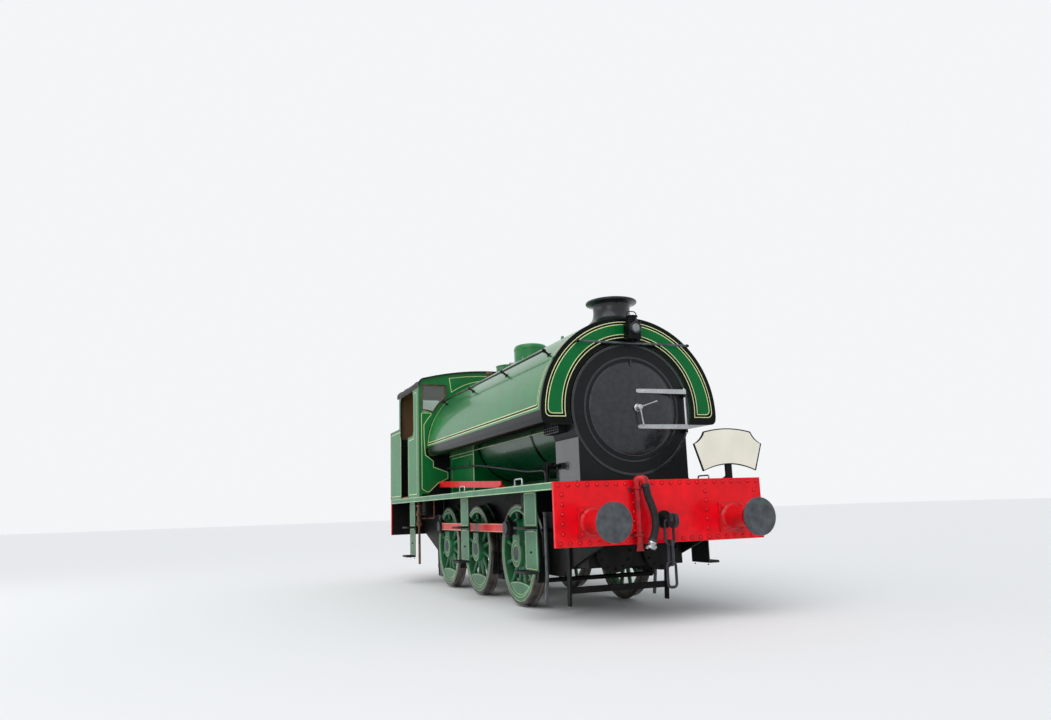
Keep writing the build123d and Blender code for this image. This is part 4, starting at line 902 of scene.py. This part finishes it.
sweep(pin, [(*HINGE, RAIL + z) for z in (2040, 2044, 2576, 2582)], [12, 15.2, 15.2, 11], 20)
lathe(dart, [(0, 0), (46, 0), (46, 8), (36, 12), (30, 20), (30, 34), (26, 38), (26, 52), (31, 56), (31, 78),
             (24, 84), (0, 86)], DART, "x", 32)
# Handles. Columns: the tip's Y and height, how far the handle stands out
for y, z, out in ((281, RAIL + 2418, 40), (68, RAIL + 2124, 66)):
    hub, tip = DART + Vector((out, 0, 0)), Vector((STRAP_X + out, y, z))
    path = [hub.lerp(tip, t) for t in (0, 0.15, 0.5, 0.8, 0.93, 0.97, 1.0)]
    sweep(dart, path, [15, 12, 9, 10, 12.5, 13, 9], 16)
    lathe(dart, [(0, -13), (24, -13), (24, 13), (0, 13)], hub, "x", 20)
piece("smokebox_straps", straps, steel, "smokebox_door", bevel=1.5, replaces="door_straps")
piece("smokebox_dart", dart, steel, "smokebox_door")
piece("smokebox_hinge_pin", pin, steel)

# Chimney and dome
metal, cover = shells(2)
low, lip = TANK_TOP, RAIL + 3740
foot = [(185, -60), (340, -60), (322, -24), (292, 8), (262, 34), (243, 66), (233, 104), (228, 150),
        (229, 190)]
mouth = [(235, 74), (248, 60), (272, 50), (300, 44), (313, 40), (318, 32), (318, 20), (312, 13), (292, 7),
         (256, 1), (230, 0), (200, 3), (188, 12), (185, 40)]
lathe(metal, [(r, low + h) for r, h in foot] + [(r, lip - h) for r, h in mouth], (CHIMNEY_X, 0, 0),
      "z", 96, closed=True)
top = TANK_TOP + 298
foot = [(0, -40), (300, -40), (290, -8), (272, 12), (263, 30), (260, 60)]
crown = [(260, 66), (257, 48), (248, 30), (232, 16), (206, 7), (170, 2), (0, 0)]
lathe(cover, [(r, low + h) for r, h in foot] + [(r, top - h) for r, h in crown], (DOME_X, 0, 0), "z", 96)
lathe(cover, [(258, top - 92), (264, top - 90), (264, top - 82), (258, top - 80)], (DOME_X, 0, 0),
      "z", 96, closed=True)
piece("chimney_turned", metal, chimney_black, replaces="chimney")
piece("dome_cover", cover, green, replaces="dome")

# Lamp: body with a chimney cap, handle, lens in a ring, and its bracket
case, lens, rim, flame = shells(4)
x0, low = SMOKE_FRONT + 40, TANK_TOP - 297
high, mid = low + 215, SMOKE_FRONT + 120
for past, corner, z0, z1 in ((0, 18, low, high - 14), (4, 20, low - 2, low + 16),
                             (5, 22, high - 16, high - 4)):
    outline = round_box(x0 - past, x0 + 160 + past, -80 - past, 80 + past, corner)
    prism(case, outline, "xy", z0, z1)
cap = [(0, -6), (80, -6), (70, 12), (58, 20), (56, 52), (60, 58), (74, 60), (74, 70), (50, 77), (0, 80)]
lathe(case, cap, (mid, 0, high), "z", 40)
for k in range(8):
    dx, dy = polar(1, 45 * k)
    rivet(case, (mid + 57 * dx, 57 * dy, high + 36), Vector((dx, dy, 0)), 6, 4)
handle = [(mid, y, high + z) for y, z in ((-66, -20), (-66, 128), (66, 128), (66, -20))]
sweep(case, bent(handle, 50, 8), 6, 10)
block(case, SMOKE_FRONT, x0 + 30, -22, 22, low - 11, low)
block(case, SMOKE_FRONT, SMOKE_FRONT + 12, -22, 22, low - 11, low + 120)
nut(case, (SMOKE_FRONT + 12, 0, low + 70), "x", 13, 9)
at = (x0, 0, low + 128)
lathe(rim, [(50, 158), (73, 158), (73, 178), (70, 184), (58, 185), (54, 180), (50, 176)], at, "x", 40,
      closed=True)
lathe(lens, [(0, 160), (55, 160), (55, 172), (44, 184), (24, 192), (0, 194)], at, "x", 40)
lathe(flame, [(0, 156), (48, 156), (48, 161), (0, 161)], at, "x", 32)
piece("lamp_body", case, black, bevel=1.5, replaces="front_lamp")
piece("lamp_lens_ring", rim, iron)
piece("lamp_lens", lens, lens_glass)
piece("lamp_reflector", flame, pipe_grey)


# Headboard, with a thin black line round its edge
def board_outline(inset):
    corner, tip, shoulder = 357 - inset, 461 - inset * 1.15, 320 - inset * 0.8
    low, tip_z, high = BOARD_Z + inset, BOARD_Z + 308, BOARD_Z + 448 - inset * 0.9
    foot = [(corner * k / 8, low + 74 * (1 - (k / 8) ** 2)) for k in range(-8, 9)]
    hollow = []
    for k in range(9):
        t = k / 8
        dip = 56 * t * (1 - t)
        hollow.append((tip + (shoulder - tip) * t - dip, tip_z + (high - tip_z) * t - dip))
    crown = [(-shoulder * k / 8, high + 38 * (1 - (k / 8) ** 2)) for k in range(-7, 8)]
    return [(BOARD_Y + y, z) for y, z in foot + hollow + crown + mirrored(hollow)[::-1]]


board, edge, iron_bar = shells(3)
prism(board, board_outline(0), "yz", BOARD_BACK, BOARD_FRONT)
band(edge, board_outline(0), board_outline(13), on_front(BOARD_FRONT), 0.5, 240)
skin(edge, [[(BOARD_BACK - 0.4, y, z), (BOARD_FRONT + 0.4, y, z), (BOARD_FRONT + 0.4, y_in, z),
             (BOARD_BACK - 0.4, y_in, z)]
            for y, z, y_in in ((y, z, BOARD_Y + (y - BOARD_Y) * 0.995)
                               for y, z in resample(board_outline(-0.4), 240))], closed=True)
block(iron_bar, BOARD_BACK - 30, BOARD_BACK - 0.2, BOARD_Y - 40, BOARD_Y + 40, PLATE_TOP, BOARD_Z + 300)
block(iron_bar, BOARD_BACK - 90, BOARD_BACK, BOARD_Y - 40, BOARD_Y + 40, PLATE_TOP, PLATE_TOP + 12)
for y in (BOARD_Y - 22, BOARD_Y + 22):
    nut(iron_bar, (BOARD_BACK - 63, y, PLATE_TOP + 12), "z", 11, 9)
piece("headboard_plate", board, cream, replaces="headboard")
piece("headboard_edge", edge, black)
piece("headboard_iron", iron_bar, black_low, bevel=2)

# Tank: black round its lower corners and along both ends, a lap seam high on each side, lifting lugs
under, seams = shells(2)
corner_z = TANK_LOW + 105
corner_y = sqrt((TANK_R - 105) ** 2 - (corner_z - TANK_Z) ** 2)
section = [(779, TANK_LOW), (900, TANK_LOW)] + arc(corner_y, corner_z, 105, -90, -1.5, 16)
for a in (-0.8, 0, 0.9, 1.7):
    y, z = polar(TANK_R, a)
    section.append((y, TANK_Z + z))
laid_strip(under, section, CAB_FRONT + 0.5, SMOKE_FRONT - 0.3, -0.7, 0.6)
laid_strip(seams, arc(0, TANK_Z, TANK_R, 66.5, 68.5, 4), CAB_FRONT + 1, SMOKE_FRONT - 26, -0.5, 2.2)
z = tank_height(430)
for x in (-1450, 1130, 2560):
    lug = [(x - 40, z - 20), (x + 40, z - 20), (x + 24, z + 38), (x - 24, z + 38)]
    prism(seams, rounded(lug, [0, 0, 20, 20]), "xz", 422, 438)
again(under, seams)
over_top = arc(0, TANK_Z, TANK_R, 1, 179, 90)
laid_strip(under, over_top, CAB_FRONT + 0.4, CAB_FRONT + 42, -0.5, 0.7)
laid_strip(under, over_top, SMOKE_FRONT - 26, SMOKE_FRONT - 0.2, -0.5, 0.7)
piece("tank_edges", under, black)
piece("tank_seams_and_lugs", seams, green)

# Bearers between the smokebox and the tank, with two rows of studs
plates, studs = shells(2)
block(plates, 2872, 3298, 856, 866, TANK_LOW - 70, TANK_LOW)
for k in range(7):
    for drop in (20, 50):
        nut(studs, (2902 + 61 * k, 866, TANK_LOW - drop), "y", 14, 9)
again(plates, studs)
piece("bearer_plates", plates, pipe_grey)
piece("bearer_studs", studs, black)

# Boiler bands, and the firebox's lined panels with their washout doors
bands, borders, doors = shells(3)
for x in (-290, 1960, 2800):
    lathe(bands, [(699, -33), (705.6, -33), (706.4, -30), (706.4, 30), (705.6, 33), (699, 33)],
          (x, 0, BOILER_Z), "x", 128, closed=True)
stripe(borders, round_box(-1600, -368, 1560, 2132, 40), on_side(750), 13, rise=1.2)
block(borders, -368, -331, 749, 752.5, PLATE_TOP, 2340)
for x in (-1480, -1005, -540):
    lathe(doors, [(0, -1), (50, -1), (50, 8), (42, 12), (20, 12), (18, 26), (0, 28)], (x, 750, 1990), "y",
          28)
    for turn in range(0, 360, 60):
        dx, dz = polar(34, turn)
        nut(doors, (x + dx, 761, 1990 + dz), "y", 8, 6)
again(borders, doors)
piece("boiler_bands", bands, black)
piece("firebox_borders", borders, lining_low)
piece("washout_doors", doors, arch_green)

# Pipes along the boiler, and a screw-down valve on each side of the smokebox
pipes, valves = shells(2)
sweep(pipes, bent([(CAB_FRONT, 800, 1980), (-2, 775, 1927), (1970, 735, 1721), (2560, 735, 1705),
                   (2560, 735, PLATE_TOP - 4)], 90), 14, 12)
for x in (300, 1200):
    along = (x + 2) / 1972
    z = 1927 - 206 * along
    block(pipes, x - 12, x + 12, 775 - 40 * along, 500, z - 8, z + 8)
VALVE = (2868, 778, 1741)
sweep(valves, bent([(2731, 778, PLATE_TOP - 4), (2731, 778, 1741), (2985, 778, 1741), (2985, 708, 1741)],
                   45), 18, 12)
lathe(valves, [(17, -54), (41, -54), (41, -43), (27, -39), (35, 0), (27, 39), (41, 43), (41, 54), (17, 54)],
      VALVE, "x", 24, closed=True)
lathe(valves, [(0, 20), (13, 20), (13, 74), (0, 76)], VALVE, "y", 16)
wheel = [(x, 848, z) for x, z in arc(2868, 1741, 46, 0, 345, 23)]
sweep(valves, wheel, 7, 8, closed=True)
for spoke in (0, 8, 16):
    sweep(valves, [(2868, 848, 1741), wheel[spoke]], 5, 6)
again(pipes, valves)
piece("boiler_pipes", pipes, iron)
piece("smokebox_valves", valves, black_low)

# Running plates: black decks with a row of rivets, pale lines on the valances, and grab loops
deck, edges, loops = shells(3)
for x0, x1, y0 in ((CAB_FRONT + 1, 2719, 602), (2721, BEAM_FACE - 42, 3)):
    block(deck, x0, x1, y0, 1286, PLATE_TOP - 0.4, PLATE_TOP + 1.0)
for x in range(-1600, 4000, 160):
    rivet(deck, (x, 1262, PLATE_TOP + 1), "z", 9, 4)
for z in (PLATE_TOP - 8, VALANCE_LOW + 9):
    stripe(edges, [(-4048, z), (4048, z)], on_side(), 8, closed=False)
y = PLATE_HALF - 30
for x in (2995, 710):
    loop = [(x + a, y, PLATE_TOP + b) for a, b in ((-120, 0), (-120, 75), (120, 75), (120, 0))]
    sweep(loops, bent(loop, 30), 10.5, 12)
    for foot in (x - 120, x + 120):
        lathe(loops, [(0, 0), (22, 0), (22, 6), (12, 10), (0, 10)], (foot, y, PLATE_TOP), "z", 16)
again(deck, edges, loops)
piece("plate_decks", deck, tread_black)
piece("valance_lines", edges, lining_low)
piece("plate_loops", loops, steel)

# Steps: lined plates, and bolted black treads with raised edges. Columns: middle x, upper tread, lower
# tread, width
plates, treads, lines = shells(3)
for x, upper, lower, width in ((3005, 1000, 505, 390), (368, 985, 505, 380), (-2940, 960, 450, 400)):
    x0, x1 = x - width / 2, x + width / 2
    upper, lower = RAIL + upper, RAIL + lower
    prism(plates, round_box(x0, x1, lower - 13, PLATE_LOW, [26, 26, 0, 0]), "xz", STEP_Y - 10, STEP_Y)
    prism(treads, box_outline(x0 + 1, x1 - 1, lower - 12, PLATE_LOW), "xz", STEP_Y - 10.8, STEP_Y - 10)
    nut(treads, (x, STEP_Y, (upper + lower) / 2 - 30), "y", 15, 9)
    for z0, z1 in ((upper + 30, VALANCE_LOW - 6), (lower + 30, upper - 44)):
        stripe(lines, round_box(x0 + 22, x1 - 22, z0, z1, 24), on_side(STEP_Y), 9)
    for z in (upper, lower):
        prism(treads, round_box(x0, x1, STEP_Y - 9, STEP_Y + 150, [0, 0, 34, 34]), "xy", z - 14, z)
        edge = round_box(x0 + 5, x1 - 5, STEP_Y - 1, STEP_Y + 145, [0, 0, 30, 30])
        stripe(treads, edge, on_top(z), 8, rise=14)
        for bolt in (x0 + 48, x1 - 48):
            nut(treads, (bolt, STEP_Y, z - 34), "y", 10, 8)
again(plates, treads, lines)
piece("step_plates", plates, green_low, replaces="steps")
piece("step_treads", treads, tread_black)
piece("step_lines", lines, lining_low)

# Sand boxes with bolted sides, and their grey pipes. Columns: ends, the pipe's place, the way to the wheel
bodies, pipes = shells(2)
for x0, x1, feed_x, end in ((2440, 2780, 2525, 1), (-2680, -2360, -2420, -1)):
    prism(bodies, round_box(x0, x1, 700, 1040, 34), "xy", PLATE_LOW - 300, PLATE_LOW)
    for x in (x0 + 40, (x0 + x1) / 2, x1 - 40):
        for z in (PLATE_LOW - 262, PLATE_LOW - 40):
            nut(bodies, (x, 1040, z), "y", 13, 9)
    sweep(pipes, bent([(feed_x, WHEEL_MID, PLATE_LOW - 299), (feed_x, WHEEL_MID, 420),
                       (feed_x - end * 60, WHEEL_MID, 130)], 60), 22, 16)
    lathe(pipes, [(20, -326), (34, -326), (34, -302), (20, -302)], (feed_x, WHEEL_MID, PLATE_LOW), "z", 6,
          closed=True)
again(bodies, pipes)
piece("sand_box_bodies", bodies, black_low, bevel=6, replaces="sand_boxes")
piece("sand_pipes", pipes, pipe_grey)

# Cylinder covers, each with a ring of nuts
(covers,) = shells(1)
at = (CYLINDER_X, CYLINDER_Y, AXLE_Z + 60)
lathe(covers, [(0, -1), (232, -1), (230, 10), (150, 14), (120, 26), (60, 30), (0, 30)], at, "x")
for y, z in arc(CYLINDER_Y, AXLE_Z + 60, 196, 0, 330, 11):
    nut(covers, (CYLINDER_X + 11, y, z), "x", 16, 14)
again(covers)
piece("cylinder_covers", covers, black_low)

# Cab front: window frames, lined panels and a column of rivets
frames, lines, rivets, dark = shells(4)
low, high, reach = RAIL + 2940, RAIL + 3405, TANK_R + 70
pane = rounded([(1235, low), (1235, high), (790, high)], 18)
pane += arc(0, TANK_Z, reach, degrees(acos(790 / reach)), degrees(asin((low - TANK_Z) / reach)), 12)
rear_pane = round_box(480, 1000, RAIL + 2900, RAIL + 3370, 60)
for x, outline in ((CAB_FRONT + 3, pane), (CAB_FRONT - 13, pane), (CAB_REAR - 3, rear_pane),
                   (CAB_REAR + 13, rear_pane)):
    for half in (outline, mirrored(outline)):
        sweep(frames, [(x, y, z) for y, z in half], 12, 8, closed=True)
# Columns: y, height above the floor, radius of the corner
panel = ((1247, 1640, 30), (1247, 2946, 26), (1050, 2940, 20), (1130, 2850, 0), (1206, 2736, 40),
         (1204, 2500, 0), (1190, 2260, 0), (1184, 2214, 30), (1046, 2109, 30), (1048, 2006, 20),
         (984, 1984, 20), (791, 1915, 24), (793, 1815, 24), (966, 1736, 40), (1138, 1576, 60))
outline = rounded([(y, z) for y, z, _ in panel], [r for _, _, r in panel])
stripe(lines, outline, on_front(CAB_FRONT), 9, rise=1.0)
for k in range(18):
    rivet(rivets, (CAB_FRONT, 1270, 1560 + 102 * k), "x", 6, 3)
inner = [(752, PLATE_TOP + 1), (1246, PLATE_TOP + 1), (1246, 1558), (1140, 1558), (966, 1718), (778, 1800),
         (776, 1926), (972, 1999), (1034, 2022), (1032, 2118), (1172, 2226), (1180, 2330), (752, 2330)]
prism(dark, inner, "yz", CAB_FRONT - 0.5, CAB_FRONT + 0.7)
again(lines, rivets, dark)
crescent = [(y, roof_height(y) - 78) for y in range(-740, 741, 148)]
crescent += arc(0, TANK_Z, reach * 0.997, 53, 125, 12)
stripe(lines, crescent, on_front(CAB_FRONT), 9, rise=1.0)
piece("cab_front_black", dark, black_low)
piece("window_frames", frames, bronze)
piece("cab_front_lining", lines, lining)
piece("cab_front_rivets", rivets, green)

# Cab and bunker sides: lined panels, beads round the openings, black corner strips
lines, beads, strips = shells(3)
doorway = [(-3130, PLATE_TOP)] + arc(-3055, RAIL + 2690, 130, 234.8, 180, 6)
doorway += arc(-3055, RAIL + 3240, 130, 180, 90, 8) + arc(-2275, RAIL + 3240, 130, 90, 0, 8)
doorway += arc(-2275, RAIL + 2690, 130, 0, -90, 8) + [(-2590, RAIL + 2560), (-2590, PLATE_TOP)]
cab_panel = [(-2535, 1562), (-1900, 1562), (-1900, 3330), (-2090, 3330), (-2090, 2530), (-2535, 2530)]
for outline in (cab_panel, box_outline(-4040, -3190, 1562, 2755)):
    stripe(lines, rounded(outline, 46), on_side(), 9, rise=1.0)
sweep(beads, [(x, 1287, z) for x, z in doorway], 9, 8)
for x0, x1, high in ((CAB_FRONT - 36, CAB_FRONT + 1, EAVES - 60), (-4094, -4050, BUNKER_TOP)):
    block(strips, x0, x1, PLATE_HALF - 1, PLATE_HALF + 2, PLATE_TOP, high)
sweep(strips, [(-4088, 1287, BUNKER_TOP), (CAB_REAR, 1287, BUNKER_TOP)], 12, 10)
for z in range(1600, 3300, 140):
    rivet(strips, (CAB_FRONT - 18, PLATE_HALF + 2, z), "y", 6, 3)
again(lines, beads, strips)
sweep(strips, [(-4088, -1287, BUNKER_TOP), (-4088, 1287, BUNKER_TOP)], 12, 10)
stripe(lines, round_box(-1190, 1190, 1562, 2755, 46), on_front(-BEAM_FACE, -1), 9, rise=1.0)
piece("cab_side_lining", lines, lining)
piece("cab_opening_beads", beads, black)
piece("cab_edge_strips", strips, black)

# Bunker inside: a coal-blackened floor, and the cab's back sheet round the shovel hole
(coal_sheets,) = shells(1)
side_in = PLATE_HALF - SHEET
block(coal_sheets, -BEAM_FACE + SHEET, CAB_REAR, -side_in, side_in, PLATE_TOP - 0.5, PLATE_TOP + 2)
for y0, y1, z0, z1 in ((-side_in, -HOLE_HALF, PLATE_TOP, BUNKER_TOP),
                       (HOLE_HALF, side_in, PLATE_TOP, BUNKER_TOP),
                       (-HOLE_HALF, HOLE_HALF, HOLE_HIGH, BUNKER_TOP),
                       (-HOLE_HALF, HOLE_HALF, PLATE_TOP, HOLE_LOW)):
    block(coal_sheets, CAB_REAR - 1.5, CAB_REAR + 0.5, y0, y1, z0, z1)
piece("bunker_coal_sheets", coal_sheets, tread_black)

# Roof: a bead along each end, rain strips, joints and the ventilator's slide
(roofing,) = shells(1)
crown = [(y, roof_height(y)) for y in range(1180, -1181, -118)]
shoulder = [(1180 + a, crown[0][1] - 122 + b) for a, b in (polar(122, turn) for turn in (0, 25, 45, 65))]
over_roof = shoulder + crown + mirrored(shoulder)[::-1]
for x, half, low, high in ((CAB_FRONT + 30, 12, -6, 9), (CAB_REAR - 100, 12, -6, 9), (-2090, 24, -4, 4),
                           (-2900, 24, -4, 4)):
    laid_strip(roofing, over_roof, x - half, x + half, low, high)
for way in (-1, 1):
    run = ((CAB_FRONT + 30, 985), (-2500, 1070), (CAB_REAR - 100, 985))
    sweep(roofing, [(x, way * y, roof_height(y) + 6) for x, y in run], 10, 8)
    block(roofing, -2800, -2200, way * 300 - 14, way * 300 + 14, ROOF - 8, ROOF + 42)
block(roofing, -2765, -2235, -345, 345, ROOF + 37, ROOF + 47)
piece("roof_details", roofing, roof_black)

# Safety valves with their nuts, and the whistle
brassware, fasteners = shells(2)
seat = tank_height(SAFETY_Y)
valve = [(0, -30), (66, -30), (66, 16), (60, 22), (46, 28), (42, 44), (42, 104), (46, 112), (57, 116),
         (57, 148), (50, 154), (42, 158), (40, 168), (20, 176), (0, 177)]
lathe(brassware, valve, (SAFETY_X, SAFETY_Y, seat), "z", 36)
for x, y in arc(SAFETY_X, SAFETY_Y, 55, 0, 300, 5):
    nut(fasteners, (x, y, seat + 18), "z", 8, 8)
again(brassware, fasteners)
whistle = [(0, -20), (26, -20), (26, 12), (12, 16), (10, 58), (30, 66), (31, 76), (27, 80), (27, 84),
           (31, 88), (31, 142), (26, 152), (10, 158), (7, 166), (0, 168)]
lathe(brassware, whistle, (CAB_FRONT + 120, 210, tank_height(210)), "z", 32)
piece("valves_turned", brassware, bronze, replaces="valves_and_whistle")
piece("valve_nuts", fasteners, iron)

# The front handrail in grey over its core, and turned knobs on the posts of all the rails
front_rail, knobs = shells(2)
RAIL_X, RAIL_TOP = SMOKE_FRONT + 75, TANK_TOP - 331
sweep(front_rail, [(RAIL_X, y, RAIL_TOP) for y in (-722, -300, 300, 792)], 13.6, 14)
out = Vector((0, *polar(1, 38.5)))
ball = [(0, -27), (15, -23), (24, -10), (26, 0), (24, 10), (15, 23), (0, 27)]
small_ball = [(0, -20), (12, -17), (19, -8), (20, 0), (19, 8), (12, 17), (0, 20)]
for x in (-1265, 230, 1725, 3220):
    foot = Vector((x, 0, TANK_Z)) + TANK_R * out
    lathe(knobs, ball, foot + 85 * out, "x", 16)
    lathe(knobs, [(0, -4), (34, -4), (34, 4), (22, 9), (15, 14), (13, 60), (0, 62)], foot, out, 16)
again(knobs)
for y in (-700, 770):
    lathe(knobs, small_ball, (RAIL_X, y, RAIL_TOP), "y", 16)
piece("front_rail", front_rail, rail_grey)
piece("rail_knobs", knobs, black)

# Injectors under the cab
bodies, unions = shells(2)
x, y, z = -2430, 1130, RAIL + 1120
body = [(0, 980), (36, 980), (46, 1000), (46, 1090), (40, 1110), (40, 1160), (46, 1175), (46, 1240),
        (34, 1270)]
tail = [(34, -125), (22, -118), (22, 1), (0, 1)]
lathe(bodies, [(r, RAIL + h) for r, h in body] + [(r, PLATE_LOW + h) for r, h in tail], (x, y, 0), "z", 28)
for low, r in ((RAIL + 1170, 60), (RAIL + 1010, 54), (PLATE_LOW - 150, 50)):
    lathe(unions, [(30, 0), (r, 0), (r, 30), (30, 30)], (x, y, low), "z", 6, closed=True)
sweep(unions, [(x, y, RAIL + 990), (x, y, RAIL + 330)], 21, 16)
sweep(unions, bent([(x, 1100, z), (x, 900, z), (-2250, 900, z), (-2250, 900, PLATE_LOW)], 60), 16, 12)
again(bodies, unions)
piece("injector_bodies", bodies, bronze, replaces="injectors")
piece("injector_pipes", unions, copper)

# Cab inside: boarded floor, studded backhead, gauges, regulator, brake column and reversing lever
boards, studs, fittings, dials, levers, feeds = shells(6)
for y0 in range(-1275, 1275, 150):
    front = BACKHEAD - 6 if abs(y0 + 74) < 800 else CAB_FRONT - 12
    block(boards, CAB_REAR + 12, front, y0, y0 + 146, PLATE_TOP - 1, PLATE_TOP + 22)
for z in range(1640, 2300, 90):
    rivet(studs, (BACKHEAD, 712, z), "-x")
sweep(feeds, bent([(BACKHEAD - 40, 420, 2960), (BACKHEAD - 40, 800, 2960), (BACKHEAD - 40, 800, 1900),
                   (-2250, 900, 1700), (-2250, 900, PLATE_TOP)], 90), 16, 12)
again(studs, feeds)
for y, z in arc(0, BOILER_Z, 712, -6, 186, 24):
    rivet(studs, (BACKHEAD, y, z), "-x")
# Gauge glasses, and the steam manifold with its valves
for y in (-250, 250):
    sweep(fittings, [(BACKHEAD - 58, y, 2380), (BACKHEAD - 58, y, 2680)], 12, 12)
    for z in (2390, 2670):
        sweep(fittings, [(BACKHEAD, y, z), (BACKHEAD - 78, y, z)], 16, 12)
        sweep(levers, [(BACKHEAD - 58, y, z), (BACKHEAD - 58, y + 62, z + 20)], 7, 8)
sweep(fittings, [(BACKHEAD - 40, -420, 2960), (BACKHEAD - 40, 420, 2960)], 28, 16)
for y in (-380, -190, 190, 380):
    lathe(fittings, [(0, 0), (18, 0), (18, 46), (9, 50), (9, 74), (30, 78), (30, 88), (0, 90)],
          (BACKHEAD - 60, y, 2960), "-x", 16)
# Pressure gauges
for y, r in ((0, 92), (230, 66)):
    at = (BACKHEAD - 24, y, 3170)
    lathe(fittings, [(r - 8, 0), (r + 6, 0), (r + 6, 40), (r - 4, 46), (r - 8, 40)], at, "-x", 36,
          closed=True)
    lathe(dials, [(0, 0), (r - 6, 0), (r - 6, 30), (0, 30)], at, "-x", 32)
    sweep(levers, [(BACKHEAD - 55, y, 3170), (BACKHEAD - 55, y + r * 0.4, 3170 + r * 0.45)], 3, 6)
    sweep(feeds, [(BACKHEAD - 36, y, 3170 - r), (BACKHEAD - 36, y, 2975)], 9, 10)
# Regulator, reversing lever in its quadrant, and brake column
lathe(fittings, [(0, 0), (70, 0), (70, 26), (40, 34), (34, 86), (0, 90)], (BACKHEAD, 0, 2740), "-x", 28)
sweep(levers, bent([(BACKHEAD - 80, 40, 2730), (BACKHEAD - 80, -300, 2790), (BACKHEAD - 140, -380, 2804)],
                   60), 13, 12)
quadrant = arc(LEVER_X, PLATE_TOP + 140, 560, 60, 120, 16) + arc(LEVER_X, PLATE_TOP + 140, 520, 120, 60, 16)
prism(levers, quadrant, "xz", -962, -942)
prism(levers, quadrant, "xz", -918, -898)
sweep(levers, [(LEVER_X, -930, PLATE_TOP + 20), (-2250, -930, PLATE_TOP + 980)], 17, 12)
sweep(levers, [(-2250, -930, PLATE_TOP + 976), (-2240, -930, PLATE_TOP + 1100)], 22, 12)
lathe(levers, [(0, 0), (80, 0), (80, 16), (40, 24), (34, 90), (28, 780), (20, 800), (20, 860), (0, 862)],
      (BRAKE_X, 950, PLATE_TOP + 20), "z", 20)
sweep(levers, [(BRAKE_X, 870, PLATE_TOP + 868), (BRAKE_X, 1030, PLATE_TOP + 868)], 14, 12)
sweep(levers, [(BRAKE_X, 1030, PLATE_TOP + 860), (BRAKE_X, 1030, PLATE_TOP + 960)], 18, 12)
piece("cab_floor_boards", boards, wood, bevel=2)
piece("backhead_studs", studs, black_low)
piece("cab_fittings", fittings, brass)
piece("cab_dials", dials, white)
piece("cab_levers", levers, steel)
piece("cab_feed_pipes", feeds, copper)

# Filler lid: a domed crown with its ring of rivets
(crown,) = shells(1)
lid = TANK_TOP + 136
lathe(crown, [(0, lid - 2), (221, lid - 2), (221, lid + 2), (205, lid + 6), (120, lid + 13), (0, lid + 15)],
      (FILLER_X, 0, 0), "z", 64)
for turn in range(0, 360, 30):
    dx, dy = polar(206, turn)
    if turn not in (0, 180):
        rivet(crown, (FILLER_X + dx, dy, lid + 4), "z", 8, 4)
piece("filler_lid_crown", crown, green, "filler_lid")

# CAD nodes that stay, with their materials
for material, names in (
        (iron, ("leading_axle_and_pins", "driving_axle_and_pins", "trailing_axle_and_pins", "firehole_door",
                "firehole_hinge", "draw_gear")),
        (black_low, ("main_frames", "axleboxes_and_springs", "frame_stretchers", "cylinder_block",
                     "guard_irons", "brake_rigging")),
        (red, ("buffer_beams", "reach_rod")), (green_low, ("running_plates",)), (boiler_shade_green, ("boiler",)),
        (arch_green, ("firebox",)), (smoke_black, ("smokebox_wrapper", "smokebox_front")),
        (green, ("saddle_tank", "filler_neck", "filler_lid")), (roof_black, ("cab_roof",)),
        (cab_green, ("cab_front", "cab_rear", "cab_sides")), (bunker_green, ("bunker",)),
        (glass, ("window_glass",)), (black, ("handrails",))):
    for name in names:
        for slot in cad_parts[name].material_slots:
            slot.material = material
